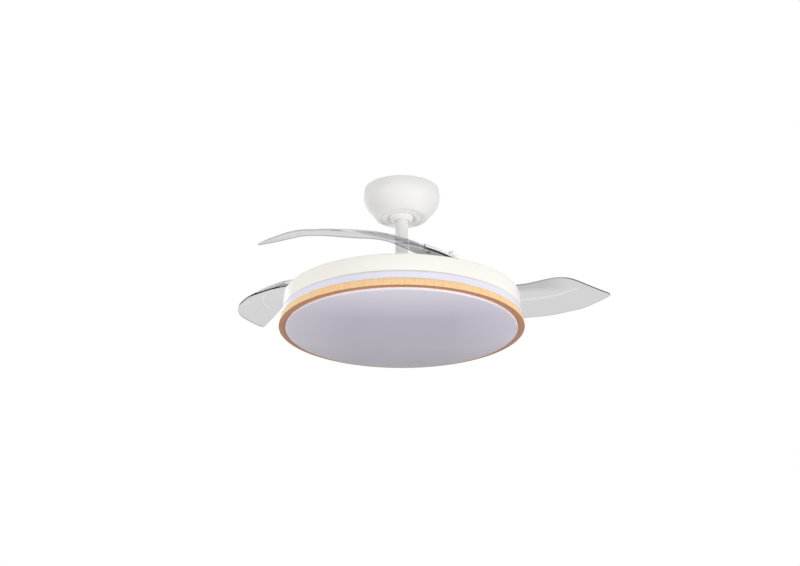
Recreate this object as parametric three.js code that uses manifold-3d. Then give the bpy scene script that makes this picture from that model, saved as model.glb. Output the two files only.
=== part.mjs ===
// A ceiling fan whose three clear blades fold away above a round light.
//
// Millimetres, +Z up. The origin is the middle of the ceiling plate's top face, so the whole fan
// hangs below z = 0. Everything under the ball joint hangs on one rod. The rotor turns on the fixed
// hollow shaft between the rod and the light drum, and carries the three blades on upright pins.

import * as THREE from 'three';
import { mergeVertices } from 'three/addons/utils/BufferGeometryUtils.js';
import Module from 'manifold-3d';

const wasm = await Module();
wasm.setup();

// ---------------------------------------------------------------- fits and facets
const seatGap = 0.3; // between two faces that rest on each other
const runGap = 1.2; // beside a piece that turns
const wide = 48; // sides of the light drum and what lies in it
const medium = 28; // sides of the ball and the motor
const canopySides = 36;
const narrow = 20; // sides of the rod and what it joins
const small = 8; // sides of screws and small holes
const hingeSides = 12; // sides of the hinge pins and their holes

// ---------------------------------------------------------------- driving dimensions
// Ceiling plate and canopy
const plateLength = 118;
const plateWidth = 70;
const plateThickness = 2.5;
const slotOffset = 40;
const slotWidth = 6;
const slotLength = 16;
const drillPast = 1; // how far a cutting piece runs past a face
const wireHoleOffset = 26;
const wireHoleRadius = 7;
const armOffset = 48.5;
const armWidth = 30;
const canopyRimRadius = 78;
const canopyRadius = 79.6;
const canopyRimDrop = 1;
const canopySideDrop = 18;
const canopyShoulderRadius = 40;
const canopyDrop = 61;
const canopyFootRadius = 56.4;
const canopyShoulderTurn = 38.7; // degrees, to where the straight slope starts
const canopyWall = 1.5;
const canopyOpening = 38;
const trimDepth = 5.4;
const trimOpening = 27.6;
const trimLipRadius = 32;
const trimGrooveRadius = 43;
const trimGrooveWidth = 1.3;
const trimGrooveDepth = 1;
const trimWall = 1;
const trimRise = 1.6; // from the lip to the edge of the ring's underside
const trimLipDrop = 0.8; // the lip's height below the groove's outer edge
const trimThroat = 3.9; // rise from the lip to the opening
const canopyScrewCircle = 44;
const canopyScrewRadius = 2;
const canopyScrewHead = 3.8;
const canopyScrewHeadHeight = 1.2;
const canopyScrewPast = 3; // beyond the tab it holds

// Ball joint and rod
const ballDrop = 48;
const ballRadius = 30;
const ballTopCut = 18;
const ballBottomCut = 24;
const socketRadius = 35;
const socketTopCut = 2;
const socketBottomCut = 12;
const socketTabOverlap = 1.5;
const rodRadius = 13.5;
const rodWall = 2;
const rodTopAboveBall = 21;
const ballPinHeight = 8;
const pinRadius = 3;
const pinHeadRadius = 4.6;
const pinHeadGap = 0.8;
const ballPinInset = 4;
const receiverLength = 76;
const receiverWidth = 36;
const receiverHeight = 16;
const terminalLength = 38;
const terminalWidth = 11;
const terminalHeight = 13;
const terminalOffset = 27;

// Heights of the body under the ceiling
const bodyDrop = 243; // ceiling to the drum's top face
const drumHeight = 35.4;
const bandHeight = 17.3;
const woodHeight = 15.2;

// Light drum
const lightRadius = 250; // the widest edge, under the wood ring
const drumInset = 8.5; // from the widest edge to the drum's side
const drumRadius = lightRadius - drumInset;
const drumFlare = 1.5;
const drumWall = 1.5;
const drumEdge = 3;
const bandInset = 4.8;
const bandRadius = lightRadius - bandInset;
const woodTaper = 2.8;
const woodRadius = lightRadius;
const woodTopRadius = woodRadius - woodTaper;
const woodFaceWidth = 14;
const woodOpening = woodRadius - woodFaceWidth;
const woodRebate = 3.7;
const woodLedge = 6;
const woodChamfer = 0.8;
const bandChamfer = 1.2;
const diffuserWall = 2.5;
const diffuserSide = 1;
const diffuserCorner = 5;
const diffuserCrown = 16;
const diffuserFlange = 2.6;
const trayWall = 1.2;
const trayRim = 9;
const trayHeightAboveBand = 3.4;
const trayHole = 14;
const boardInner = 40;
const boardInset = 38;
const boardOuter = lightRadius - boardInset;
const boardThickness = 1.6;
const driverLength = 92;
const driverWidth = 46;
const driverHeight = 21;
const driverOffset = 112;
const frameWall = 1.2;
const frameHeight = 20;
const lugReach = 9;
const lugThickness = 1.7;
const lugTurn = 10; // degrees of arc
const hookReach = 8;
const hookThickness = 1.5;
const hookWall = 2;
const lugDrop = 1.5; // the lug's top under the drum's lower edge

// Motor
const shaftRadius = 9;
const shaftBore = 5.5;
const shaftBelowDrum = 15;
const collarRadius = 14;
const couplingRadius = 20;
const couplingHeight = 48;
const couplingSocket = 31;
const couplingWeb = 5;
const couplingClearance = 4;
const couplingPinDrop = 15;
const couplingPinPast = 3; // beyond the coupling at each end
const couplingPinHeadHeight = 3.8;
const couplingEdge = 2;
const setScrewDrop = 25;
const setScrewPast = 4;
const rotorRadius = 90.5;
const rotorLift = 4.5; // drum top to the rotor's underside
const rotorHeight = 38;
const rotorWall = 2.5;
const rotorFlangeRadius = 104;
const rotorFlangeHeight = 5.2; // rotor underside to the flange's top
const rotorInnerWall = 85;
const bearingRadius = 17;
const bearingWidth = 7;
const bearingBossWall = 3.2;
const statorRadius = 78;
const statorHeight = 12;
const statorSlots = 12;
const statorSides = 36;
const statorSlotWidth = 6.4;
const windingLegWidth = 5.2;
const airGap = 1.2;
const magnetHeight = 15;
const windingInner = 30;
const windingOuter = 66;
const windingOverhang = 4;
const nutRadius = 15;
const nutHeight = 7;

// Blade plate and hinges
const pivotRadius = 164;
const bladePlateThickness = 3;
const bladePlateRim = 104;
const lobeRadius = 24;
const armHoleRadius = 11;
const armOverlap = 6; // of each arm with the plate's ring
const screwTurn = 60; // degrees from each arm to the next screw
const plateScrewCircle = 97.5;
const plateScrewRadius = 2;
const plateScrewHead = 4;
const plateScrewHeadHeight = 2.4;
const hingePinRadius = 4;
const hingePinHead = 8;
const hingePinHeadHeight = 3.4;
const hubRadius = 14;
const hubNeck = 6.5;
const hubSides = 16;
const hubBottom = 20.5; // above the drum's top face
const stopLugLength = 22;
const stopLugWidth = 8;
const stopLugHeight = 2.8;
const bufferRadius = 3.5;
const bufferCircle = 18;
const bufferHeight = 9.2;
const springRadius = 10;
const springWire = 0.7;
const springTurns = 2.5;
const springPitch = 2;
const springLeg = 9;
const springSides = 5;
const springStepsPerTurn = 9;
const firstPivotAngle = 67.5; // degrees, seen from above, from +X
const openAngle = -70.6; // blade direction from its pivot's own radius, at the open stop
const closedAngle = -153; // at the closed stop
const leftRestAngle = -74.4;
const frontRestAngle = -125.4; // this blade rests partly folded

// Blade
const bladeLength = 384;
const bladeHeel = 33;
const bladeThickness = 3;
const bladeStations = 16; // facets along the blade
const bladeAcross = 5; // facets across it
const holderThickness = 3.5;
const capThickness = 2.5;
const clampInset = 6;
const clampReach = 86;
const capReach = 56;
const clampHeel = 22;
const capBossRadius = 9.5;
const capBossRise = 6.8;
const bladeScrewPlace = [47, 14];
const bladeScrewRadius = 2;
const bladeScrewHead = 5.4;
const bladeScrewHeadHeight = 2.4;
const bladeScrewBoss = 7;
const bladeScrewShort = 0.4; // of the cap's upper face
const holderScrewDepth = 1.6; // of the holder's boss below its underside
const pivotNutRadius = 7.5;
const pivotNutHeight = 3.2;

// ---------------------------------------------------------------- heights worked out from them
const drumTop = -bodyDrop;
const drumBottom = drumTop - drumHeight;
const woodTop = drumBottom - bandHeight;
const woodBottom = woodTop - woodHeight;
const ballCentre = -ballDrop;
const canopyBottom = -canopyDrop;
const rotorBottom = drumTop + rotorLift;
const rotorTop = rotorBottom + rotorHeight;
const flangeTop = rotorBottom + rotorFlangeHeight;
const bladePlateBottom = flangeTop + seatGap;
const bladePlateTop = bladePlateBottom + bladePlateThickness;
const couplingBottom = rotorTop + couplingClearance;
const couplingTop = couplingBottom + couplingHeight;
const rodBottom = couplingTop - couplingSocket + seatGap;
const rodTop = ballCentre + rodTopAboveBall;
const trayBottom = drumBottom + trayHeightAboveBand;
const shaftTop = couplingTop - couplingSocket - couplingWeb - seatGap;
const shaftBottom = drumTop - shaftBelowDrum;

// ---------------------------------------------------------------- finishes
const finishes = {
  whitePaint: new THREE.MeshStandardMaterial({ color: 0xf3f1ee, roughness: 0.42, metalness: 0 }),
  drumPaint: new THREE.MeshStandardMaterial({ color: 0xf6f2ea, roughness: 0.4, metalness: 0 }),
  steel: new THREE.MeshStandardMaterial({ color: 0xa8abae, roughness: 0.35, metalness: 1 }),
  zinc: new THREE.MeshStandardMaterial({ color: 0xbfc3c6, roughness: 0.45, metalness: 0.9 }),
  castAlloy: new THREE.MeshStandardMaterial({ color: 0xc9cccd, roughness: 0.5, metalness: 0.8 }),
  laminations: new THREE.MeshStandardMaterial({ color: 0x6a6c70, roughness: 0.6, metalness: 0.7 }),
  copper: new THREE.MeshStandardMaterial({ color: 0xb26a3b, roughness: 0.45, metalness: 0.8 }),
  magnet: new THREE.MeshStandardMaterial({ color: 0x3b3c3f, roughness: 0.7, metalness: 0.3 }),
  whitePlastic: new THREE.MeshStandardMaterial({ color: 0xe9e8e6, roughness: 0.5, metalness: 0 }),
  greyPlastic: new THREE.MeshStandardMaterial({ color: 0x8a8c8f, roughness: 0.55, metalness: 0 }),
  rubber: new THREE.MeshStandardMaterial({ color: 0x2b2b2d, roughness: 0.85, metalness: 0 }),
  smokedClear: new THREE.MeshStandardMaterial({
    color: 0xb9babc, roughness: 0.12, metalness: 0, transparent: true, opacity: 0.45,
  }),
  acrylic: new THREE.MeshStandardMaterial({ color: 0xe3e2f0, roughness: 0.3, metalness: 0 }),
  paleWood: new THREE.MeshStandardMaterial({ color: 0xf0c28c, roughness: 0.55, metalness: 0 }),
  opal: new THREE.MeshStandardMaterial({ color: 0xddd6e0, roughness: 0.45, metalness: 0 }),
  circuit: new THREE.MeshStandardMaterial({ color: 0xf2f3ef, roughness: 0.5, metalness: 0 }),
};

// ---------------------------------------------------------------- solids
const degrees = THREE.MathUtils.degToRad;

/** One closed solid from a surface, with its faces pointing out. */
function solidOf(geometry) {
  geometry.deleteAttribute('normal');
  geometry.deleteAttribute('uv');
  const merged = mergeVertices(geometry, 1e-4);
  const corners = [];
  const index = merged.index.array;
  for (let i = 0; i < index.length; i += 3) {
    const [a, b, c] = [index[i], index[i + 1], index[i + 2]];
    if (a !== b && b !== c && c !== a) corners.push(a, b, c);
  }
  const position = merged.attributes.position;
  const [p, q, r] = [new THREE.Vector3(), new THREE.Vector3(), new THREE.Vector3()];
  let volume = 0;
  for (let i = 0; i < corners.length; i += 3) {
    p.fromBufferAttribute(position, corners[i]);
    q.fromBufferAttribute(position, corners[i + 1]);
    r.fromBufferAttribute(position, corners[i + 2]);
    volume += p.dot(q.cross(r));
  }
  if (volume < 0) corners.reverse();
  return new wasm.Manifold(new wasm.Mesh({
    numProp: 3,
    vertProperties: new Float32Array(position.array),
    triVerts: new Uint32Array(corners),
  }));
}

/** The surface of a solid. */
function geometryOf(solid) {
  const mesh = solid.getMesh();
  const geometry = new THREE.BufferGeometry();
  geometry.setAttribute('position', new THREE.BufferAttribute(mesh.vertProperties, 3));
  geometry.setIndex(new THREE.BufferAttribute(mesh.triVerts, 1));
  return geometry;
}

const join = (first, ...others) => others.reduce((sum, other) => sum.add(other), first);
const cut = (first, ...tools) => tools.reduce((rest, tool) => rest.subtract(tool), first);

/** A solid turned about Z from a closed profile of [radius, height] points. */
function turned(profile, sides) {
  const onAxis = profile[0][0] === 0 && profile[profile.length - 1][0] === 0;
  const points = onAxis ? profile : [...profile, profile[0]];
  const geometry = new THREE.LatheGeometry(points.map(([r, z]) => new THREE.Vector2(r, z)), sides);
  return solidOf(geometry.rotateX(Math.PI / 2));
}

const ring = (inner, outer, low, high, sides) =>
  turned([[inner, low], [outer, low], [outer, high], [inner, high]], sides);

/** An upright cylinder. */
function post(radius, low, high, sides = small, x = 0, y = 0) {
  const geometry = new THREE.CylinderGeometry(radius, radius, high - low, sides);
  return solidOf(geometry.rotateX(Math.PI / 2).translate(x, y, (low + high) / 2));
}

/** A cylinder that lies along X or Y. */
function bar(radius, from, to, height, axis, sides = small) {
  const geometry = new THREE.CylinderGeometry(radius, radius, to - from, sides);
  if (axis === 'x') geometry.rotateZ(Math.PI / 2).translate((from + to) / 2, 0, height);
  else geometry.translate(0, (from + to) / 2, height);
  return solidOf(geometry);
}

function block(x0, x1, y0, y1, z0, z1) {
  const geometry = new THREE.BoxGeometry(x1 - x0, y1 - y0, z1 - z0);
  return solidOf(geometry.translate((x0 + x1) / 2, (y0 + y1) / 2, (z0 + z1) / 2));
}

/** A solid turned about Z by an angle in degrees. */
const turnedBy = (solid, angle) => solid.rotate([0, 0, angle]);

/** Points of a circular arc as [radius, height] pairs, angles in degrees from +radius towards +Z. */
function arc(centreR, centreZ, radius, from, to, steps) {
  return Array.from({ length: steps + 1 }, (_, i) => {
    const angle = degrees(from + ((to - from) * i) / steps);
    return [centreR + radius * Math.cos(angle), centreZ + radius * Math.sin(angle)];
  });
}

/** A flat shape of [x, y] points with a thickness, standing on z = low. */
function plate(points, low, high) {
  const shape = new THREE.Shape(points.map(([x, y]) => new THREE.Vector2(x, y)));
  const geometry = new THREE.ExtrudeGeometry(shape, { depth: high - low, bevelEnabled: false });
  return solidOf(geometry.translate(0, 0, low));
}

/** A sector of a flat ring, centred on an angle in degrees. */
function sector(inner, outer, low, high, angle, spread, steps = 4) {
  const edge = (radius, from, to) => arc(0, 0, radius, from, to, steps);
  const half = spread / 2;
  return plate([...edge(outer, angle - half, angle + half), ...edge(inner, angle + half, angle - half)],
    low, high);
}

const fan = new THREE.Group();

/** Adds one named piece to a group. */
function piece(name, solid, finish, group = fan) {
  const mesh = new THREE.Mesh(geometryOf(solid), finish.clone());
  mesh.name = name;
  group.add(mesh);
}

// ---------------------------------------------------------------- ceiling plate and canopy
const tabTop = canopyBottom + canopyWall + seatGap + plateThickness;
const tabBottom = tabTop - plateThickness;

function makeCeilingBracket() {
  const half = plateWidth / 2;
  let solid = block(-plateLength / 2, plateLength / 2, -half, half, -plateThickness, 0);
  for (const side of [-1, 1]) {
    const [near, far] = [side * armOffset, side * (armOffset + plateThickness)];
    const x0 = Math.min(near, far);
    const x1 = Math.max(near, far);
    const inner = side * (socketRadius - socketTabOverlap);
    solid = join(solid,
      block(x0, x1, -armWidth / 2, armWidth / 2, tabBottom, -plateThickness / 2),
      block(Math.min(inner, far), Math.max(inner, far), -armWidth / 2, armWidth / 2, tabBottom, tabTop));
  }
  const seatFrom = -THREE.MathUtils.radToDeg(Math.asin(socketBottomCut / (ballRadius + seatGap)));
  const seatTo = THREE.MathUtils.radToDeg(Math.asin(socketTopCut / (ballRadius + seatGap)));
  const seat = arc(0, ballCentre, ballRadius + seatGap, seatFrom, seatTo, 4);
  solid = join(solid, turned([
    ...seat,
    [socketRadius, ballCentre + socketTopCut],
    [socketRadius, ballCentre - socketBottomCut],
  ], medium));
  const slotHalf = rodRadius + runGap;
  const throat = block(-slotHalf, slotHalf, 0, socketRadius + 2,
    ballCentre - socketBottomCut - drillPast, ballCentre + socketTopCut + drillPast);
  const floor = -plateThickness - drillPast;
  const slotEnd = (slotLength - slotWidth) / 2;
  const slots = [-slotOffset, slotOffset].map((x) => join(
    block(x - slotEnd, x + slotEnd, -slotWidth / 2, slotWidth / 2, floor, drillPast),
    post(slotWidth / 2, floor, drillPast, small, x - slotEnd),
    post(slotWidth / 2, floor, drillPast, small, x + slotEnd)));
  const screwHoles = [-1, 1].map((side) =>
    post(canopyScrewRadius + seatGap, tabBottom - drillPast, tabTop + drillPast, small,
      side * canopyScrewCircle));
  const wireHole = post(wireHoleRadius, floor, drillPast, small, 0, -wireHoleOffset);
  return cut(solid, throat, ...slots, ...screwHoles, wireHole);
}

function makeCanopy() {
  // The slope under the shoulder runs straight from the end of the arc to the foot.
  const shoulder = (radius, turn) => arc(canopyRadius - canopyShoulderRadius, -canopySideDrop,
    radius, 0, -turn, 4);
  const outer = [
    [canopyRimRadius, -canopyRimDrop],
    ...shoulder(canopyShoulderRadius, canopyShoulderTurn),
    [canopyFootRadius, canopyBottom],
    [canopyOpening, canopyBottom],
  ];
  const inner = [
    [canopyOpening, canopyBottom + canopyWall],
    [canopyFootRadius - 0.7 * canopyWall, canopyBottom + canopyWall],
    ...shoulder(canopyShoulderRadius - canopyWall, canopyShoulderTurn).reverse(),
    [canopyRimRadius - canopyWall, -canopyRimDrop],
  ];
  const screwHoles = [-1, 1].map((side) => post(canopyScrewRadius + seatGap,
    canopyBottom - drillPast, canopyBottom + canopyWall + drillPast, small, side * canopyScrewCircle));
  return cut(turned([...outer, ...inner], canopySides), ...screwHoles);
}

function makeCanopyTrim() {
  const top = canopyBottom - seatGap;
  const low = canopyBottom - trimDepth;
  const grooveTop = low + trimLipDrop + trimGrooveDepth;
  const grooveOut = trimGrooveRadius + trimGrooveWidth / 2;
  const grooveIn = trimGrooveRadius - trimGrooveWidth / 2;
  const edge = canopyFootRadius - 0.2;
  return turned([
    [edge, top],
    [edge - 0.8, top - 1.2],
    [edge - 4, low + trimRise],
    [grooveOut, low + trimLipDrop],
    [grooveOut, grooveTop],
    [grooveIn, grooveTop],
    [grooveIn, low + 0.6],
    [trimLipRadius + 3, low],
    [trimLipRadius, low],
    [trimOpening, low + trimThroat],
    [trimOpening, low + trimThroat + trimWall],
    [trimLipRadius, low + 1 + trimWall],
    [grooveIn - trimWall, grooveTop + trimWall],
    [edge - 4 - trimWall, grooveTop + trimWall],
    [edge - trimWall, top],
  ], medium);
}

/** A pan-head screw that points up, its head's upper face at a height. */
function upwardScrew(radius, length, headRadius, headHeight, headTop, x = 0, y = 0) {
  return join(post(headRadius, headTop - headHeight, headTop, small, x, y),
    post(radius, headTop - headHeight / 2, headTop + length, small, x, y));
}

piece('ceiling_bracket', makeCeilingBracket(), finishes.zinc);
piece('canopy', makeCanopy(), finishes.whitePaint);
piece('canopy_trim_ring', makeCanopyTrim(), finishes.whitePaint);
[-1, 1].forEach((side, i) => {
  const screw = upwardScrew(canopyScrewRadius, canopyWall + seatGap + plateThickness + canopyScrewPast,
    canopyScrewHead, canopyScrewHeadHeight, canopyBottom - seatGap, side * canopyScrewCircle);
  piece(`canopy_screw_${i + 1}`, screw, finishes.steel);
});

const underPlate = -plateThickness - seatGap;
piece('receiver', block(-receiverLength / 2, receiverLength / 2, -receiverWidth / 2 + 2,
  receiverWidth / 2 - 2, underPlate - receiverHeight, underPlate), finishes.whitePlastic);
piece('terminal_block', block(-terminalLength / 2, terminalLength / 2,
  terminalOffset - terminalWidth / 2, terminalOffset + terminalWidth / 2,
  underPlate - terminalHeight, underPlate), finishes.greyPlastic);

// ---------------------------------------------------------------- ball, rod and coupling
const angleOfCut = (depth) => THREE.MathUtils.radToDeg(Math.asin(depth / ballRadius));
const ballBore = rodRadius + seatGap;

function makeBall() {
  const surface = arc(0, ballCentre, ballRadius, -angleOfCut(ballBottomCut), angleOfCut(ballTopCut), 8);
  const solid = turned([
    ...surface,
    [ballBore, ballCentre + ballTopCut],
    [ballBore, ballCentre - ballBottomCut],
  ], medium);
  return cut(solid, bar(pinRadius + seatGap, -ballRadius, ballRadius, ballCentre + ballPinHeight, 'x'));
}

function makeRod() {
  const tube = ring(rodRadius - rodWall, rodRadius, rodBottom, rodTop, narrow);
  const reach = rodRadius + 2;
  return cut(tube,
    bar(pinRadius + seatGap, -reach, reach, ballCentre + ballPinHeight, 'x'),
    bar(pinRadius + seatGap, -reach, reach, couplingTop - couplingPinDrop, 'y'));
}

function makeCoupling() {
  const socketBottom = couplingTop - couplingSocket;
  const web = socketBottom - couplingWeb;
  const solid = turned([
    [rodRadius + seatGap, couplingTop],
    [couplingRadius - couplingEdge, couplingTop],
    [couplingRadius, couplingTop - couplingEdge],
    [couplingRadius, couplingBottom + couplingEdge],
    [couplingRadius - couplingEdge, couplingBottom],
    [shaftRadius + seatGap, couplingBottom],
    [shaftRadius + seatGap, web],
    [shaftBore, web],
    [shaftBore, socketBottom],
    [rodRadius + seatGap, socketBottom],
  ], narrow);
  const reach = couplingRadius + 2;
  return cut(solid,
    bar(pinRadius + seatGap, -reach, reach, couplingTop - couplingPinDrop, 'y'),
    bar(pinRadius + seatGap, 0, reach, couplingTop - setScrewDrop, 'x'));
}

function makeCouplingPin() {
  const height = couplingTop - couplingPinDrop;
  const end = couplingRadius + couplingPinPast;
  const headEnd = couplingRadius + pinHeadGap;
  return join(bar(pinRadius, -end, end, height, 'y'),
    bar(pinHeadRadius, -headEnd - couplingPinHeadHeight, -headEnd, height, 'y'));
}

piece('hanger_ball', makeBall(), finishes.whitePlastic);
piece('ball_cross_pin', bar(pinRadius, ballPinInset - ballRadius, ballRadius - ballPinInset,
  ballCentre + ballPinHeight, 'x'),
  finishes.steel);
piece('downrod', makeRod(), finishes.whitePaint);
piece('rod_coupling', makeCoupling(), finishes.castAlloy);
piece('coupling_pin', makeCouplingPin(), finishes.steel);
piece('coupling_set_screw', bar(pinRadius, rodRadius + seatGap, couplingRadius + setScrewPast,
  couplingTop - setScrewDrop, 'x'), finishes.steel);

// ---------------------------------------------------------------- motor
const bearingTop = rotorTop - rotorWall - seatGap;
const lowerBearingBottom = rotorBottom + seatGap;
const statorMiddle = (rotorTop + rotorBottom) / 2;
const statorTop = statorMiddle + statorHeight / 2;
const statorBottom = statorMiddle - statorHeight / 2;

function makeShaft() {
  const collarTop = rotorBottom - seatGap;
  const collarBottom = drumTop + seatGap;
  return turned([
    [shaftBore, shaftTop],
    [shaftRadius, shaftTop],
    [shaftRadius, collarTop],
    [collarRadius, collarTop],
    [collarRadius, collarBottom],
    [shaftRadius, collarBottom],
    [shaftRadius, shaftBottom],
    [shaftBore, shaftBottom],
  ], narrow);
}

function makeRotorCover() {
  const low = flangeTop + seatGap;
  const boss = bearingRadius + seatGap + bearingBossWall;
  return turned([
    [shaftRadius + runGap, rotorTop],
    [rotorRadius - 6, rotorTop],
    [rotorRadius - 1.8, rotorTop - 1.8],
    [rotorRadius, rotorTop - 6],
    [rotorRadius, low],
    [rotorRadius - rotorWall, low],
    [rotorRadius - rotorWall, rotorTop - rotorWall - 3],
    [rotorRadius - rotorWall - 3, rotorTop - rotorWall],
    [boss, rotorTop - rotorWall],
    [boss, bearingTop - bearingWidth - 1],
    [bearingRadius + seatGap, bearingTop - bearingWidth - 1],
    [bearingRadius + seatGap, rotorTop - rotorWall],
    [shaftRadius + runGap, rotorTop - rotorWall],
  ], medium);
}

function makeRotorBase() {
  const boss = bearingRadius + seatGap + bearingBossWall;
  const bearingSeat = rotorBottom + bearingWidth + 1;
  return turned([
    [bearingRadius + seatGap, rotorBottom],
    [rotorInnerWall + rotorWall - 2, rotorBottom],
    [rotorInnerWall + rotorWall, rotorBottom + 2],
    [rotorInnerWall + rotorWall, flangeTop - rotorWall],
    [rotorFlangeRadius, flangeTop - rotorWall],
    [rotorFlangeRadius, flangeTop],
    [rotorInnerWall, flangeTop],
    [rotorInnerWall, rotorBottom + rotorWall],
    [boss, rotorBottom + rotorWall],
    [boss, bearingSeat],
    [bearingRadius + seatGap, bearingSeat],
  ], medium);
}

function makeStator() {
  const slotMiddle = (windingInner + windingOuter) / 2;
  const slotDepth = windingOuter - windingInner;
  let solid = ring(shaftRadius + seatGap, statorRadius, statorBottom, statorTop, statorSides);
  for (let i = 0; i < statorSlots; i += 1) {
    const slot = block(slotMiddle - slotDepth / 2, statorRadius + 2,
      -statorSlotWidth / 2, statorSlotWidth / 2, statorBottom - drillPast, statorTop + drillPast);
    solid = solid.subtract(turnedBy(slot, (360 * i) / statorSlots));
  }
  return solid;
}

function makeWinding() {
  const reach = windingOverhang;
  const inner = windingInner + 1;
  let solid = join(
    ring(inner, windingOuter, statorTop + seatGap, statorTop + seatGap + reach, medium),
    ring(inner, windingOuter, statorBottom - seatGap - reach, statorBottom - seatGap, medium));
  for (let i = 0; i < statorSlots; i += 1) {
    const leg = block(inner + 1, windingOuter - 1, -windingLegWidth / 2, windingLegWidth / 2,
      statorBottom - seatGap - reach / 2, statorTop + seatGap + reach / 2);
    solid = solid.add(turnedBy(leg, (360 * i) / statorSlots));
  }
  return solid;
}

const magnetBottom = statorBottom - (magnetHeight - statorHeight) / 2;
const magnetInner = statorRadius + airGap;
const magnetOuter = rotorRadius - rotorWall - seatGap;

piece('motor_shaft', makeShaft(), finishes.steel);
piece('rotor_cover', makeRotorCover(), finishes.castAlloy);
piece('rotor_base', makeRotorBase(), finishes.castAlloy);
piece('stator_core', makeStator(), finishes.laminations);
piece('stator_winding', makeWinding(), finishes.copper);
piece('magnet_ring', ring(magnetInner, magnetOuter, magnetBottom, magnetBottom + magnetHeight,
  medium), finishes.magnet);
piece('upper_bearing', ring(shaftRadius + seatGap, bearingRadius, bearingTop - bearingWidth, bearingTop,
  narrow), finishes.steel);
piece('lower_bearing', ring(shaftRadius + seatGap, bearingRadius, lowerBearingBottom,
  lowerBearingBottom + bearingWidth, narrow), finishes.steel);

// ---------------------------------------------------------------- blade plate
const pivots = [
  { name: 'right', angle: firstPivotAngle, direction: openAngle },
  { name: 'left', angle: firstPivotAngle + 120, direction: leftRestAngle },
  { name: 'front', angle: firstPivotAngle - 120, direction: frontRestAngle },
];
// The stop lug points away from the blade, and meets the buffer when the blade is fully open.
const stopSpread = THREE.MathUtils.radToDeg(
  Math.asin((stopLugWidth / 2 + bufferRadius + 2 * seatGap) / bufferCircle));
const openStop = openAngle + 180 + stopSpread;
const closedStop = closedAngle + 180 - stopSpread;

/** A point beside a pivot: the angle is measured from the pivot's own radius. */
function besidePivot(pivot, distance, angle) {
  const radius = degrees(pivot.angle);
  const turn = degrees(pivot.angle + angle);
  return [
    pivotRadius * Math.cos(radius) + distance * Math.cos(turn),
    pivotRadius * Math.sin(radius) + distance * Math.sin(turn),
  ];
}

function makeBladePlate() {
  const inner = rotorRadius + runGap;
  let solid = ring(inner, bladePlateRim, bladePlateBottom, bladePlateTop, medium);
  const [low, high] = [bladePlateBottom - drillPast, bladePlateTop + drillPast];
  const holes = [];
  for (const pivot of pivots) {
    const arm = block(bladePlateRim - armOverlap, pivotRadius, -lobeRadius, lobeRadius,
      bladePlateBottom, bladePlateTop);
    const [x, y] = besidePivot(pivot, 0, 0);
    const [stopX, stopY] = besidePivot(pivot, bufferCircle, closedStop);
    solid = join(solid, turnedBy(arm, pivot.angle),
      post(lobeRadius, bladePlateBottom, bladePlateTop, narrow, x, y),
      post(bufferRadius, bladePlateTop - 1, bladePlateTop + bufferHeight, small, stopX, stopY));
    holes.push(post(hingePinRadius + seatGap, low, high, hingeSides, x, y));
    const window = (pivotRadius - lobeRadius + bladePlateRim) / 2;
    const middle = degrees(pivot.angle);
    holes.push(post(armHoleRadius, low, high, small,
      window * Math.cos(middle), window * Math.sin(middle)));
    const between = degrees(pivot.angle + screwTurn);
    holes.push(post(plateScrewRadius + seatGap, low, high, small,
      plateScrewCircle * Math.cos(between), plateScrewCircle * Math.sin(between)));
  }
  return cut(solid, ...holes);
}

/** A coil about the pin with one straight leg at each end. */
class SpringPath extends THREE.Curve {
  getPoint(t, target = new THREE.Vector3()) {
    const turnLength = 2 * Math.PI * springRadius * springTurns;
    const total = turnLength + 2 * springLeg;
    const along = t * total - springLeg;
    const wound = Math.min(Math.max(along, 0), turnLength);
    const angle = wound / springRadius;
    const straight = along - wound;
    return target.set(
      springRadius * Math.cos(angle) - straight * Math.sin(angle),
      springRadius * Math.sin(angle) + straight * Math.cos(angle),
      (wound / turnLength) * springTurns * springPitch);
  }
}

function makeSpring() {
  const section = new THREE.Shape(Array.from({ length: springSides }, (_, i) => {
    const angle = (2 * Math.PI * i) / springSides;
    return new THREE.Vector2(springWire * Math.cos(angle), springWire * Math.sin(angle));
  }));
  const steps = Math.round(springTurns * springStepsPerTurn);
  return solidOf(new THREE.ExtrudeGeometry(section,
    { steps, extrudePath: new SpringPath(), bevelEnabled: false }));
}

piece('blade_plate', makeBladePlate(), finishes.castAlloy);
pivots.forEach((pivot, i) => {
  const between = degrees(pivot.angle + screwTurn);
  const screw = join(
    post(plateScrewHead, bladePlateTop + seatGap, bladePlateTop + seatGap + plateScrewHeadHeight, small),
    post(plateScrewRadius, bladePlateBottom, bladePlateTop + 1, small));
  piece(`plate_screw_${i + 1}`, screw.translate([plateScrewCircle * Math.cos(between),
    plateScrewCircle * Math.sin(between), 0]), finishes.steel);
});

// ---------------------------------------------------------------- blades
/** A smooth curve through [x, value] knots. */
function through(knots) {
  const slope = (i) => {
    const before = knots[Math.max(i - 1, 0)];
    const after = knots[Math.min(i + 1, knots.length - 1)];
    return (after[1] - before[1]) / (after[0] - before[0]);
  };
  return (x) => {
    let i = 0;
    while (i < knots.length - 2 && x > knots[i + 1][0]) i += 1;
    const [[x0, y0], [x1, y1]] = [knots[i], knots[i + 1]];
    const span = x1 - x0;
    const t = Math.min(Math.max((x - x0) / span, 0), 1);
    const t2 = t * t;
    const t3 = t2 * t;
    return y0 * (2 * t3 - 3 * t2 + 1) + slope(i) * span * (t3 - 2 * t2 + t)
      + y1 * (3 * t2 - 2 * t3) + slope(i + 1) * span * (t3 - t2);
  };
}

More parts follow.
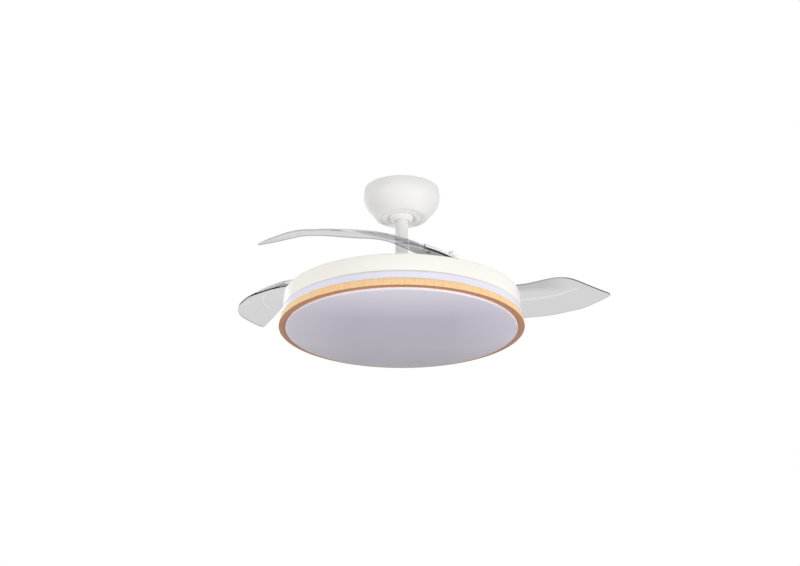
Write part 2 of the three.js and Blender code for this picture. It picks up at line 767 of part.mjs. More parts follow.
// The blade lies along +X from its pivot. Its trailing edge is on +Y and low, its leading edge high.
const heel = -bladeHeel;
const tip = bladeLength;
const trailingEdge = through([[heel, -2], [-20, 7], [0, 18], [65, 72], [135, 98], [200, 100.4],
  [265, 96], [320, 74.4], [360, 35], [tip, 4]]);
const leadingEdge = through([[heel, -16], [-20, -32], [0, -28], [65, -20], [130, -10], [200, -10.5],
  [240, -17.6], [275, -23.6], [310, -20.8], [tip, -3]]);
const middleHeight = through([[heel, 25], [0, 31], [30, 36.7], [65, 39.6], [130, 53.9], [200, 63.2],
  [290, 71], [340, 64], [tip, 58]]);
const pitch = through([[heel, 0.15], [30, 0.27], [65, 0.26], [130, 0.39], [200, 0.32], [280, 0.33],
  [tip, 0.22]]);
const camber = through([[heel, 3], [65, 13.2], [130, 12.8], [200, 9.7], [280, 3.7], [tip, 0]]);

/** Height of the blade's middle surface over the drum's top face. */
function bladeSurface(x, y) {
  const low = leadingEdge(x);
  const high = trailingEdge(x);
  const offset = y - (low + high) / 2;
  const half = Math.max((high - low) / 2, 12);
  return middleHeight(x) - pitch(x) * offset + camber(x) * (1 - (offset / half) ** 2);
}

/** A closed sheet that follows the blade's surface between two offsets from it. */
function sheet(from, to, inset, below, above, stations) {
  const across = bladeAcross;
  const points = [];
  for (const offset of [below, above]) {
    for (let i = 0; i <= stations; i += 1) {
      const x = from + ((to - from) * (1 - Math.cos((Math.PI * i) / stations))) / 2;
      const low = leadingEdge(x) + inset;
      const high = trailingEdge(x) - inset;
      for (let j = 0; j <= across; j += 1) {
        const y = low + ((high - low) * j) / across;
        points.push(x, y, bladeSurface(x, y) + offset);
      }
    }
  }
  const row = across + 1;
  const layer = row * (stations + 1);
  const at = (side, i, j) => side * layer + i * row + j;
  const faces = [];
  const quad = (a, b, c, d) => faces.push(a, b, c, a, c, d);
  for (let i = 0; i < stations; i += 1) {
    for (let j = 0; j < across; j += 1) {
      quad(at(1, i, j), at(1, i + 1, j), at(1, i + 1, j + 1), at(1, i, j + 1));
      quad(at(0, i, j), at(0, i, j + 1), at(0, i + 1, j + 1), at(0, i + 1, j));
    }
    quad(at(0, i, 0), at(0, i + 1, 0), at(1, i + 1, 0), at(1, i, 0));
    quad(at(0, i + 1, across), at(0, i, across), at(1, i, across), at(1, i + 1, across));
  }
  for (let j = 0; j < across; j += 1) {
    quad(at(0, 0, j + 1), at(0, 0, j), at(1, 0, j), at(1, 0, j + 1));
    quad(at(0, stations, j), at(0, stations, j + 1), at(1, stations, j + 1), at(1, stations, j));
  }
  const geometry = new THREE.BufferGeometry();
  geometry.setAttribute('position', new THREE.Float32BufferAttribute(points, 3));
  geometry.setIndex(faces);
  return solidOf(geometry);
}

const halfBlade = bladeThickness / 2;
const [screwX, screwY] = bladeScrewPlace;
const clampStations = 5;
const tall = 60; // reaches past every piece of a hinge
const holderTop = -halfBlade - seatGap;
const holderBottom = holderTop - holderThickness;
const capBottom = halfBlade + seatGap;
const capTop = capBottom + capThickness;
const aboveDrum = (z) => z - drumTop;
const hubFoot = aboveDrum(bladePlateTop) + seatGap;
const pinHole = () => post(hingePinRadius + seatGap, 0, 2 * tall, hingeSides);
const screwHole = () => post(bladeScrewRadius + seatGap, 0, 2 * tall, small, screwX, screwY);
const clampSheet = (reach, below, above) =>
  sheet(-clampHeel, reach, clampInset, below, above, clampStations);
const screwFoot = bladeSurface(screwX, screwY + bladeScrewBoss) + holderBottom - holderScrewDepth;
const bossTop = bladeSurface(0, 0) + capBottom + capBossRise;

function makeHolder() {
  const hub = join(post(hubNeck, hubFoot, hubBottom + 1, small),
    post(hubRadius, hubBottom, bladeSurface(0, 0) + hubRadius, hubSides),
    block(-stopLugLength, 0, -stopLugWidth / 2, stopLugWidth / 2, hubBottom, hubBottom + stopLugHeight),
    post(bladeScrewBoss, screwFoot, bladeSurface(screwX, screwY), small, screwX, screwY));
  const above = sheet(heel, tip, 0, holderTop, tall, bladeStations);
  return cut(join(clampSheet(clampReach, holderBottom, 0), hub), above, pinHole(), screwHole());
}

function makeCap() {
  const boss = post(capBossRadius, bladeSurface(0, 0), bossTop, hubSides);
  const below = sheet(heel, tip, 0, -tall / 2, capBottom, bladeStations);
  return cut(join(clampSheet(capReach, 0, capTop), boss), below, pinHole(), screwHole());
}

function makeBlade() {
  return cut(sheet(heel, tip, 0, -halfBlade, halfBlade, bladeStations), pinHole(), screwHole());
}

function makePivotPin() {
  const headTop = aboveDrum(bladePlateBottom) - seatGap;
  return join(post(hingePinHead, headTop - hingePinHeadHeight, headTop, small),
    post(hingePinRadius, headTop - 1, bossTop + seatGap + pivotNutHeight, hingeSides));
}

function makePivotNut() {
  const low = bossTop + seatGap;
  return cut(post(pivotNutRadius, low, low + pivotNutHeight, 6),
    post(hingePinRadius + seatGap, low - drillPast, low + pivotNutHeight + drillPast, hingeSides));
}

function makeBladeScrew() {
  const head = screwFoot - seatGap;
  const end = bladeSurface(screwX, screwY) + capTop - bladeScrewShort;
  return join(post(bladeScrewHead, head - bladeScrewHeadHeight, head, small, screwX, screwY),
    post(bladeScrewRadius, head - 1, end, small, screwX, screwY));
}

for (const pivot of pivots) {
  const [x, y] = besidePivot(pivot, 0, 0);
  const hinge = new THREE.Group();
  hinge.position.set(x, y, drumTop);
  hinge.rotation.z = degrees(pivot.angle + pivot.direction);
  fan.add(hinge);
  piece(`blade_${pivot.name}`, makeBlade(), finishes.smokedClear, hinge);
  piece(`blade_holder_${pivot.name}`, makeHolder(), finishes.greyPlastic, hinge);
  piece(`blade_cap_${pivot.name}`, makeCap(), finishes.whitePlastic, hinge);
  piece(`blade_screw_${pivot.name}`, makeBladeScrew(), finishes.steel, hinge);

  const base = new THREE.Group();
  base.position.set(x, y, drumTop);
  base.rotation.z = degrees(pivot.angle);
  fan.add(base);
  piece(`pivot_pin_${pivot.name}`, makePivotPin(), finishes.steel, base);
  piece(`pivot_nut_${pivot.name}`, makePivotNut(), finishes.whitePlastic, base);
  const springFoot = hubFoot + springWire + seatGap;
  piece(`return_spring_${pivot.name}`, makeSpring().translate([0, 0, springFoot]), finishes.steel, base);
  const stop = degrees(openStop);
  piece(`stop_buffer_${pivot.name}`, post(bufferRadius, hubFoot, hubFoot + bufferHeight - seatGap, small,
    bufferCircle * Math.cos(stop), bufferCircle * Math.sin(stop)), finishes.rubber, base);
}

// ---------------------------------------------------------------- light drum
function makeDrum() {
  const outer = arc(drumRadius - drumEdge, drumTop - drumEdge, drumEdge, 90, 0, 3);
  const inner = arc(drumRadius - drumEdge, drumTop - drumEdge, drumEdge - drumWall, 0, 90, 2);
  return turned([
    [shaftRadius + seatGap, drumTop],
    ...outer,
    [drumRadius + drumFlare, drumBottom],
    [drumRadius + drumFlare - drumWall, drumBottom],
    ...inner,
    [shaftRadius + seatGap, drumTop - drumWall],
  ], wide);
}

// The tray's rim sits against the drum's side, which flares towards the bottom.
const flareAtTray = drumFlare * (1 - (trayHeightAboveBand + trayRim) / (drumHeight - drumEdge));
const trayRadius = drumRadius + flareAtTray - drumWall - seatGap;
const rebateRadius = woodOpening + woodRebate;
const frameRadius = rebateRadius - seatGap;
const lugInner = frameRadius - frameWall - lugReach;
const hookOuter = lugInner + hookReach - hookWall;
const hookInner = lugInner - 2 * hookWall;
const lugTop = drumBottom - lugDrop;
const lugBottom = lugTop - lugThickness;
const hookTop = lugBottom - seatGap;
const hookAngles = [90, 210, 330];

function makeTray() {
  let solid = turned([
    [trayHole, trayBottom],
    [trayRadius, trayBottom],
    [trayRadius, trayBottom + trayRim],
    [trayRadius - trayWall, trayBottom + trayRim],
    [trayRadius - trayWall, trayBottom + trayWall],
    [trayHole, trayBottom + trayWall],
  ], wide);
  for (const angle of hookAngles) {
    solid = join(solid,
      sector(hookInner, hookInner + hookWall, hookTop - hookThickness, trayBottom + 0.5, angle, lugTurn),
      sector(hookInner, hookOuter, hookTop - hookThickness, hookTop, angle, lugTurn));
  }
  return solid;
}

function makeCoverFrame() {
  let solid = ring(frameRadius - frameWall, frameRadius, drumBottom - frameHeight,
    drumBottom - seatGap, wide);
  for (const angle of hookAngles) {
    solid = join(solid, sector(lugInner, frameRadius - frameWall / 2, lugBottom, lugTop, angle, lugTurn));
  }
  return solid;
}

const bandTop = drumBottom - seatGap;
const bandBottom = woodTop + seatGap;

function makeBand() {
  return turned([
    [rebateRadius, bandTop],
    [bandRadius - bandChamfer, bandTop],
    [bandRadius - bandChamfer / 2, bandTop - bandChamfer],
    [bandRadius, bandBottom],
    [rebateRadius, bandBottom],
  ], wide);
}

function makeWoodRing() {
  return turned([
    [rebateRadius, woodTop],
    [woodTopRadius - woodChamfer, woodTop],
    [woodTopRadius, woodTop - woodChamfer],
    [woodRadius, woodBottom + woodChamfer],
    [woodRadius - woodChamfer, woodBottom],
    [woodOpening, woodBottom],
    [woodOpening, woodBottom + woodLedge],
    [rebateRadius, woodBottom + woodLedge],
  ], wide);
}

function makeDiffuser() {
  const side = woodOpening - seatGap;
  const flangeLow = woodBottom + woodLedge + seatGap;
  const cornerTop = woodBottom - diffuserSide;
  const floor = cornerTop - diffuserCorner;
  const flat = side - diffuserCorner;
  const crown = (edge, lift) => [0.85, 0.65, 0.4, 0].map((share) =>
    [edge * share, floor + lift - diffuserCrown * (1 - share * share)]);
  const outerCorner = arc(flat, cornerTop, diffuserCorner, 0, -90, 3);
  const innerCorner = arc(flat, cornerTop, diffuserCorner - diffuserWall, 0, -90, 2);
  return turned([
    ...crown(flat, diffuserWall).reverse(),
    ...innerCorner.reverse(),
    [side - diffuserWall, flangeLow + diffuserFlange],
    [frameRadius, flangeLow + diffuserFlange],
    [frameRadius, flangeLow],
    [side, flangeLow],
    ...outerCorner,
    ...crown(flat, 0),
  ], wide);
}

piece('drum_housing', makeDrum(), finishes.drumPaint);
piece('shaft_nut', cut(post(nutRadius, drumTop - drumWall - seatGap - nutHeight,
  drumTop - drumWall - seatGap, 6), post(shaftRadius + seatGap, shaftBottom - drillPast, drumTop, narrow)),
finishes.steel);
piece('light_tray', makeTray(), finishes.zinc);
piece('led_board', ring(boardInner, boardOuter, trayBottom - seatGap - boardThickness,
  trayBottom - seatGap, wide), finishes.circuit);
const trayFloor = trayBottom + trayWall + seatGap;
piece('led_driver', block(driverOffset - driverLength / 2, driverOffset + driverLength / 2,
  -driverWidth / 2, driverWidth / 2, trayFloor, trayFloor + driverHeight), finishes.whitePlastic);
piece('cover_frame', makeCoverFrame(), finishes.zinc);
piece('acrylic_band', makeBand(), finishes.acrylic);
piece('wood_ring', makeWoodRing(), finishes.paleWood);
piece('diffuser', makeDiffuser(), finishes.opal);

export default fan;
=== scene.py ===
"""Looks of a ceiling fan whose clear blades fold away above a round light.

Every piece is made in the part's own frame, in metres: the origin is the middle of the ceiling
plate's upper face, +Z points up and the camera looks along +Y from below. The sizes in the
classes are millimetres, as they are on the real fan. Sizes inside a material are metres.
"""

import logging
import math
from collections.abc import Callable, Sequence
from dataclasses import dataclass
from enum import Enum

import bmesh
import bpy
from bmesh.types import BMEdge, BMesh, BMVert
from bpy.types import Material, Node, NodeSocket, NodeTree, Object
from mathutils import Matrix, Vector


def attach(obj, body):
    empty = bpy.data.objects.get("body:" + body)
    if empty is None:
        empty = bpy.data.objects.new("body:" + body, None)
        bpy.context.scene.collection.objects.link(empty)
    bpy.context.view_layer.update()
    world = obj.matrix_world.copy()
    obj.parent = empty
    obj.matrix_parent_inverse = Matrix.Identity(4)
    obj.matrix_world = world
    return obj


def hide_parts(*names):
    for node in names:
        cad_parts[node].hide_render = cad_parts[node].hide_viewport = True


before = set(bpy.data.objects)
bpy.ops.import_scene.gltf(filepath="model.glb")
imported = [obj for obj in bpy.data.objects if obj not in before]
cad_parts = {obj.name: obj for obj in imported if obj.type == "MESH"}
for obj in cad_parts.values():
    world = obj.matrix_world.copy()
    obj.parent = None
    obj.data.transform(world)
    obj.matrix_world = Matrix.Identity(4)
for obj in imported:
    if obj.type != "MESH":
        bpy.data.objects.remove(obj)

LOG = logging.getLogger("ceiling_fan")
MM = 0.001
FULL_TURN = 2 * math.pi

Colour = tuple[float, float, float]
Pair = tuple[float, float]
Value = float | int | Sequence[float] | NodeSocket


class Body(Enum):
    """The part's moving bodies."""

    CEILING = "ceiling_mount"
    FAN = "fan_body"
    ROTOR = "rotor"
    COVER = "light_cover"


class Side(Enum):
    """The three blades, named as the camera sees them."""

    RIGHT = "right"
    LEFT = "left"
    FRONT = "front"


# ------------------------------------------------------------------ heights and shared sizes
@dataclass(frozen=True)
class Levels:
    """Heights of the fan's main faces under the ceiling, in millimetres."""

    canopy_foot: float = -61.0
    ball_middle: float = -48.0
    rod_top: float = -27.0
    rod_bottom: float = -179.2
    coupling_top: float = -148.5
    coupling_bottom: float = -196.5
    shaft_top: float = -184.8
    shaft_bottom: float = -258.0
    rotor_top: float = -200.5
    rotor_bottom: float = -238.5
    flange_top: float = -233.3
    plate_bottom: float = -233.0
    plate_top: float = -230.0
    drum_top: float = -243.0
    drum_bottom: float = -278.4
    wood_top: float = -295.7
    wood_bottom: float = -310.9


LEVEL = Levels()
SEAT_GAP = 0.3


# ------------------------------------------------------------------ colour
def srgb(colour: Colour) -> tuple[float, float, float, float]:
    """Turn a colour as a screen shows it, 0 to 255, into the linear one that shaders take."""
    def linear(value: float) -> float:
        share = value / 255
        return share / 12.92 if share <= 0.04045 else ((share + 0.055) / 1.055) ** 2.4

    red, green, blue = colour
    return linear(red), linear(green), linear(blue), 1.0


def lowered(colour: Colour, red: float, green: float, blue: float) -> Colour:
    """A colour with its red, green and blue taken down."""
    return colour[0] - red, colour[1] - green, colour[2] - blue


# ------------------------------------------------------------------ node trees
class Graph:
    """A node tree that is written one node at a time."""

    def __init__(self, tree: NodeTree) -> None:
        """Start on the tree of a material, a world or a group."""
        self.tree = tree

    def put(self, node: Node, inputs: dict[str | int, Value]) -> None:
        """Set some of a node's inputs, or link them where the value is a socket."""
        for name, value in inputs.items():
            if isinstance(value, NodeSocket):
                self.tree.links.new(value, node.inputs[name])
            else:
                node.inputs[name].default_value = value

    def node(self, kind: str, inputs: dict[str | int, Value] | None = None,
             **settings: object) -> Node:
        """Add a node of a kind, with its own settings and its inputs set or linked."""
        made = self.tree.nodes.new(kind)
        for name, setting in settings.items():
            setattr(made, name, setting)
        self.put(made, inputs or {})
        return made

    def math(self, operation: str, first: Value, second: Value = 0.0,
             clamp: bool = False) -> NodeSocket:
        """One sum, product or other operation on two numbers."""
        return self.node("ShaderNodeMath", {0: first, 1: second}, operation=operation,
                         use_clamp=clamp).outputs[0]

    def times(self, first: Value, second: Value) -> NodeSocket:
        """Two numbers multiplied."""
        return self.math("MULTIPLY", first, second)

    def size(self, value: Value) -> NodeSocket:
        """A number without its sign."""
        return self.math("ABSOLUTE", value)

    def ranged(self, value: Value, low: float, high: float, to_low: float = 0.0,
               to_high: float = 1.0) -> NodeSocket:
        """A number carried from one range to another, held inside it."""
        return self.node("ShaderNodeMapRange", {
            "Value": value, "From Min": low, "From Max": high,
            "To Min": to_low, "To Max": to_high}).outputs[0]

    def blend(self, factor: Value, first: Value, second: Value) -> NodeSocket:
        """Two colours mixed."""
        return self.node("ShaderNodeMix", {0: factor, 6: first, 7: second},
                         data_type="RGBA").outputs[2]

    def noise(self, vector: Value, scale: Value, detail: float,
              roughness: float = 0.5) -> NodeSocket:
        """Cloudy noise from nought to one."""
        return self.node("ShaderNodeTexNoise", {
            "Vector": vector, "Scale": scale, "Detail": detail,
            "Roughness": roughness}).outputs[0]

    def parts(self, vector: Value) -> tuple[NodeSocket, ...]:
        """A vector's X, Y and Z."""
        return tuple(self.node("ShaderNodeSeparateXYZ", {0: vector}).outputs)

    def upward(self) -> NodeSocket:
        """How far a face looks up: one for a level top, minus one for an underside."""
        return self.parts(self.node("ShaderNodeNewGeometry").outputs["Normal"])[2]


class Effect(Enum):
    """The effects that several finishes share, each a node group."""

    GRAIN = "surface_grain"
    DUST = "settled_dust"
    WEAR = "edge_wear"
    LINES = "drawn_lines"


class EffectLibrary:
    """Makes each shared effect once, as a group that gives out numbers only."""

    def __init__(self) -> None:
        """Start with no effect made."""
        self.made: dict[Effect, NodeTree] = {}
        self.makers: dict[Effect, Callable[[], NodeTree]] = {
            Effect.GRAIN: self.make_grain, Effect.DUST: self.make_dust,
            Effect.WEAR: self.make_wear, Effect.LINES: self.make_lines}

    @staticmethod
    def start(effect: Effect, inputs: dict[str, float],
              outputs: Sequence[str]) -> tuple[Graph, Node, Node]:
        """Start a group with a vector input, number inputs and number outputs.

        Args:
            effect: The effect that the group is.
            inputs: Each number input and its first value.
            outputs: The names of the number outputs.

        Returns:
            The group's graph, its input node and its output node.
        """
        tree = bpy.data.node_groups.new(effect.value, "ShaderNodeTree")
        tree.interface.new_socket("Vector", in_out="INPUT", socket_type="NodeSocketVector")
        for name, value in inputs.items():
            socket = tree.interface.new_socket(name, in_out="INPUT",
                                               socket_type="NodeSocketFloat")
            socket.default_value = value
        for name in outputs:
            tree.interface.new_socket(name, in_out="OUTPUT", socket_type="NodeSocketFloat")
        graph = Graph(tree)
        return graph, graph.node("NodeGroupInput"), graph.node("NodeGroupOutput")

    def make_grain(self) -> NodeTree:
        """Fine height grain, and a slow change of tone over the surface."""
        graph, given, out = self.start(Effect.GRAIN, {"Scale": 900.0, "Patch": 14.0},
                                       ("Height", "Tone"))
        vector, scale, patch = tuple(given.outputs)[:3]
        slow = graph.noise(vector, patch, 4.0, 0.6)
        graph.put(out, {"Height": graph.noise(vector, scale, 3.0, 0.55),
                        "Tone": graph.ranged(slow, 0.3, 0.7)})
        return graph.tree

    def make_mask(self, effect: Effect, amount: float, broken: tuple[float, ...],
                  patch: tuple[float, ...], where: Callable[[Graph], NodeSocket]) -> NodeTree:
        """A mask of some faces, broken up in patches.

        Args:
            effect: The effect that the group is.
            amount: How strong it is at first.
            broken: The scale, detail and roughness of the noise that breaks it up.
            patch: The range of that noise that counts, and the shares it stands for.
            where: Gives the faces that it covers.
        """
        graph, given, out = self.start(effect, {"Amount": amount}, ("Mask",))
        covered = where(graph)
        patchy = graph.ranged(graph.noise(given.outputs["Vector"], *broken), *patch)
        graph.put(out, {"Mask": graph.math("MULTIPLY", graph.times(covered, patchy),
                                           given.outputs["Amount"], clamp=True)})
        return graph.tree

    def make_dust(self) -> NodeTree:
        """A mask of the thin dust that settles on faces that look up."""
        return self.make_mask(Effect.DUST, 0.3, (55.0, 6.0, 0.65), (0.35, 0.75, 0.25, 1.0),
                              lambda graph: graph.ranged(graph.upward(), 0.4, 0.95))

    def make_wear(self) -> NodeTree:
        """A mask of the rubbed edges."""
        return self.make_mask(
            Effect.WEAR, 0.5, (260.0, 5.0), (0.4, 0.6, 0.2, 1.0), lambda graph: graph.ranged(
                graph.node("ShaderNodeNewGeometry").outputs["Pointiness"], 0.53, 0.62))

    def make_lines(self) -> NodeTree:
        """Fine drawn or turned lines, for a vector stretched along them."""
        graph, given, out = self.start(Effect.LINES, {"Scale": 1.0}, ("Height",))
        vector, scale = tuple(given.outputs)[:2]
        graph.put(out, {"Height": graph.noise(vector, scale, 5.0, 0.7)})
        return graph.tree

    def tree(self, effect: Effect) -> NodeTree:
        """The group of an effect, made when it is first asked for."""
        if effect not in self.made:
            self.made[effect] = self.makers[effect]()
        return self.made[effect]


EFFECTS = EffectLibrary()


class Look(Graph):
    """The node tree of a new material, with its shader and the object's own coordinates."""

    def __init__(self, name: str) -> None:
        """Start a material of this name."""
        self.material = bpy.data.materials.new(name)
        self.material.use_nodes = True
        super().__init__(self.material.node_tree)
        self.shader = self.tree.nodes["Principled BSDF"]
        self.place = self.node("ShaderNodeTexCoord").outputs["Object"]

    def shade(self, inputs: dict[str, Value]) -> None:
        """Set or link the shader's own inputs."""
        self.put(self.shader, inputs)

    def effect(self, effect: Effect, vector: NodeSocket | None = None, **inputs: Value) -> Node:
        """Place a shared effect, on the object's own coordinates unless others are given."""
        made = self.node("ShaderNodeGroup", node_tree=EFFECTS.tree(effect))
        self.put(made, {"Vector": self.place if vector is None else vector, **inputs})
        return made

    def mapped(self, **settings: Sequence[float]) -> NodeSocket:
        """The object's own coordinates, moved, turned or stretched."""
        return self.node("ShaderNodeMapping", {"Vector": self.place, **settings}).outputs[0]

    def bump(self, height: NodeSocket, depth: float) -> None:
        """Raise the surface by a height times a depth in metres."""
        made = self.node("ShaderNodeBump", {"Strength": 1.0, "Distance": depth,
                                            "Height": height})
        self.shade({"Normal": made.outputs[0]})


# ------------------------------------------------------------------ finishes
@dataclass(frozen=True)
class Finish:
    """A finish that can dress a piece. The kinds below say what it is made of."""

    name: str

    def paint(self, look: Look) -> None:
        """Write the finish's own nodes."""
        raise NotImplementedError

    def material(self) -> Material:
        """The finish as a material, made once."""
        known = bpy.data.materials.get(self.name)
        if known is not None:
            return known
        look = Look(self.name)
        self.paint(look)
        return look.material


@dataclass(frozen=True)
class Paint(Finish):
    """Enamel or powder coat on metal."""

    colour: Colour = (243, 241, 238)
    dust_colour: Colour = (196, 190, 180)
    roughness: float = 0.38
    peel_scale: float = 420.0
    peel_depth: float = 0.00003
    dust: float = 0.12
    coat: float = 0.15

    def paint(self, look: Look) -> None:
        """Soft orange peel, a slow change of tone, and dust on top."""
        grain = look.effect(Effect.GRAIN, Scale=self.peel_scale, Patch=9.0).outputs
        dust = look.effect(Effect.DUST, Amount=self.dust).outputs["Mask"]
        tone = look.blend(grain["Tone"], srgb(self.colour), srgb(lowered(self.colour, 2, 3, 5)))
        worn = look.ranged(grain["Tone"], 0.0, 1.0, self.roughness - 0.04, self.roughness + 0.05)
        look.shade({"Base Color": look.blend(dust, tone, srgb(self.dust_colour)),
                    "Roughness": look.math("ADD", worn, look.times(dust, 0.4)),
                    "Coat Weight": self.coat, "Coat Roughness": 0.2})
        look.bump(grain["Height"], self.peel_depth)


class Marks(Enum):
    """How a metal's surface was left: the stretch of its lines along X, Y and Z."""

    TURNED = (4.0, 4.0, 900.0)
    DRAWN = (900.0, 900.0, 6.0)
    CAST = (420.0, 420.0, 420.0)


@dataclass(frozen=True)
class Metal(Finish):
    """Bare or plated metal."""

    colour: Colour = (168, 171, 174)
    roughness: float = 0.32
    marks: Marks = Marks.TURNED
    depth: float = 0.00002
    stain: float = 0.3

    def paint(self, look: Look) -> None:
        """Lines or cast grain, a dulled patch here and there, and brighter edges."""
        lines = look.effect(Effect.LINES, look.mapped(Scale=self.marks.value),
                            Scale=1.0).outputs["Height"]
        patch = look.effect(Effect.GRAIN, Patch=40.0).outputs["Tone"]
        wear = look.effect(Effect.WEAR, Amount=0.5).outputs["Mask"]
        red, green, blue = self.colour
        dulled = srgb((red * 0.82, green * 0.81, blue * 0.79))
        bright = srgb((min(red + 40, 250), min(green + 40, 250), min(blue + 40, 250)))
        tone = look.blend(look.times(patch, self.stain), srgb(self.colour), dulled)
        look.shade({"Base Color": look.blend(wear, tone, bright), "Metallic": 1.0,
                    "Roughness": look.ranged(lines, 0.2, 0.8, self.roughness - 0.08,
                                             self.roughness + 0.12)})
        look.bump(lines, self.depth)


@dataclass(frozen=True)
class Plastic(Finish):
    """Moulded plastic or rubber."""

    colour: Colour = (233, 232, 230)
    dust_colour: Colour = (176, 172, 166)
    roughness: float = 0.45
    grain_scale: float = 1500.0
    grain_depth: float = 0.00002
    dust: float = 0.15
    tint: float = 5.0

    def paint(self, look: Look) -> None:
        """Spark-eroded grain, a slow tone and dust on top."""
        grain = look.effect(Effect.GRAIN, Scale=self.grain_scale, Patch=30.0).outputs
        dust = look.effect(Effect.DUST, Amount=self.dust).outputs["Mask"]
        red, green, blue = lowered(self.colour, self.tint, self.tint, self.tint)
        darker = srgb((max(red, 0), max(green, 0), max(blue, 0)))
        tone = look.blend(grain["Tone"], srgb(self.colour), darker)
        look.shade({"Base Color": look.blend(dust, tone, srgb(self.dust_colour)),
                    "Roughness": look.ranged(grain["Height"], 0.3, 0.7, self.roughness - 0.04,
                                             self.roughness + 0.06)})
        look.bump(grain["Height"], self.grain_depth)


@dataclass(frozen=True)
class Opal(Finish):
    """Milky acrylic that light passes into but nothing shows through."""

    colour: Colour = (208, 201, 217)
    # Painted light and shade: the near edge and the sides paler, the far side darker, over ranges
    # of Y and X in metres.
    near_light_colour: Colour = (239, 237, 250)
    far_shade_colour: Colour = (184, 174, 188)
    # Painted rim tone over a range of Z in metres: a painted highlight where the diffuser turns
    # up, a painted shadow line under the drum on the acrylic band.
    painted_rim_colour: Colour = (252, 240, 242)
    side_light_colour: Colour = (230, 225, 240)
    painted_rim_height: Pair = (-0.3145, -0.3120)
    near_light_fade: Pair = (-0.11, -0.24)
    side_light_fade: Pair = (0.10, 0.236)
    far_shade_fade: Pair = (0.06, 0.24)
    roughness: float = 0.36
    depth: float = 0.00001

    def paint(self, look: Look) -> None:
        """A faint cloud, then painted light and shade: paler towards the near edge and the sides,
        darker on the far side, and a painted rim tone where it turns up.
        """
        grain = look.effect(Effect.GRAIN, Scale=1100.0, Patch=11.0).outputs
        lit = look.blend(grain["Tone"], srgb(self.colour), srgb(lowered(self.colour, 3, 3, 2)))
        across, away, height = look.parts(look.place)
        # Painted light and shade blended in over X, Y and Z: the sides, the near edge, the far
        # side and the rim.
        for value, span, colour in ((look.size(across), self.side_light_fade, self.side_light_colour),
                                    (away, self.near_light_fade, self.near_light_colour),
                                    (away, self.far_shade_fade, self.far_shade_colour),
                                    (height, self.painted_rim_height, self.painted_rim_colour)):
            lit = look.blend(look.ranged(value, *span), lit, srgb(colour))
        look.shade({"Base Color": lit,
                    "Roughness": look.ranged(grain["Tone"], 0.0, 1.0, self.roughness - 0.03,
                                             self.roughness + 0.04)})
        look.bump(grain["Height"], self.depth)


@dataclass(frozen=True)
class SmokedClear(Finish):
    """Clear smoke-grey plastic sheet, with painted shade, a painted highlight and painted edge
    tones that follow the blade's own frame, in metres.
    """

    colour: Colour = (214, 214, 215)
    # Painted shade by the leading edge, then a painted highlight along the bead's crest.
    shade: Colour = (214, 214, 215)
    bead: Colour = (214, 214, 215)
    # Painted shade and reflection on the cut edges, leading and back, at the root and at the tip;
    # split, slant and tip place them.
    lead_root: Colour = (160, 160, 162)
    lead_tip: Colour = (160, 160, 162)
    back_root: Colour = (196, 196, 198)
    back_tip: Colour = (196, 196, 198)
    split: float = 0.285
    turn: float = 0.0
    shift: Pair = (0.0, 0.0)
    slant: float = 0.31
    tip: float = 0.384
    shade_across: Pair = (0.010, 0.028)
    shade_along: Pair = (0.24, 0.30)
    bead_crest: Pair = (0.185, 0.0525)
    bead_end: Pair = (0.322, 0.002)
    bead_bend: float = 2.75
    bead_half: Pair = (0.0011, 0.0024)
    middle_blur: float = 0.001
    split_blur: float = 0.012
    roughness: float = 0.04
    refraction: float = 1.04
    clear: float = 1.0

    def bead_highlight_mask(self, look: Look, along: NodeSocket, across: NodeSocket) -> NodeSocket:
        """Where the bead's crest runs over the sheet: the mask of its painted highlight."""
        crest, top = self.bead_crest
        end, low = self.bead_end
        reach = look.math("DIVIDE", look.size(look.math("SUBTRACT", along, crest)), end - crest)
        drop = look.times(look.math("POWER", reach, self.bead_bend), top - low)
        off = look.size(look.math("SUBTRACT", across, look.math("SUBTRACT", top, drop)))
        ends = look.times(look.ranged(along, crest - 0.02, crest),
                          look.ranged(along, end - 0.004, end - 0.001, 1.0, 0.0))
        return look.times(look.ranged(off, *self.bead_half, 1.0, 0.0), ends)

    def paint(self, look: Look) -> None:
        """Tinted sheet with painted shade by its leading edge, a painted highlight along the bead,
        and painted shade and reflection on its cut edges.
        """
        grain = look.effect(Effect.GRAIN, Scale=300.0, Patch=8.0).outputs
        along, across, _ = look.parts(look.mapped(Location=(*self.shift, 0.0),
                                                  Rotation=(0.0, 0.0, self.turn)))
        tone = look.blend(grain["Tone"], srgb(self.colour), srgb(lowered(self.colour, 5, 5, 5)))
        # Painted shade: a darker band by the leading edge, near the root.
        shade_band = look.times(look.ranged(across, *self.shade_across, 1.0, 0.0),
                          look.ranged(along, *self.shade_along, 1.0, 0.0))
        shaded = look.blend(shade_band, tone, srgb(self.shade))
        # Painted highlight along the bead's crest.
        faces = look.blend(self.bead_highlight_mask(look, along, across), shaded, srgb(self.bead))
        # Painted shade and reflection on the cut edges: faces that look sideways take a tone by
        # side of a slanting line and by distance along, root or tip.
        middle = look.times(look.math("SUBTRACT", self.tip, along), self.slant)
        behind = look.ranged(look.math("SUBTRACT", across, middle), -self.middle_blur,
                             self.middle_blur)
        outer = look.ranged(along, self.split - self.split_blur, self.split + self.split_blur)
        lead = look.blend(outer, srgb(self.lead_root), srgb(self.lead_tip))
        back = look.blend(outer, srgb(self.back_root), srgb(self.back_tip))
        rim = look.ranged(look.size(look.upward()), 0.25, 0.6, 1.0, 0.0)
        look.shade({"Base Color": look.blend(rim, faces, look.blend(behind, lead, back)),
                    "Roughness": look.ranged(grain["Height"], 0.3, 0.7, self.roughness - 0.02,
                                             self.roughness + 0.03),
                    "Transmission Weight": self.clear, "IOR": self.refraction})


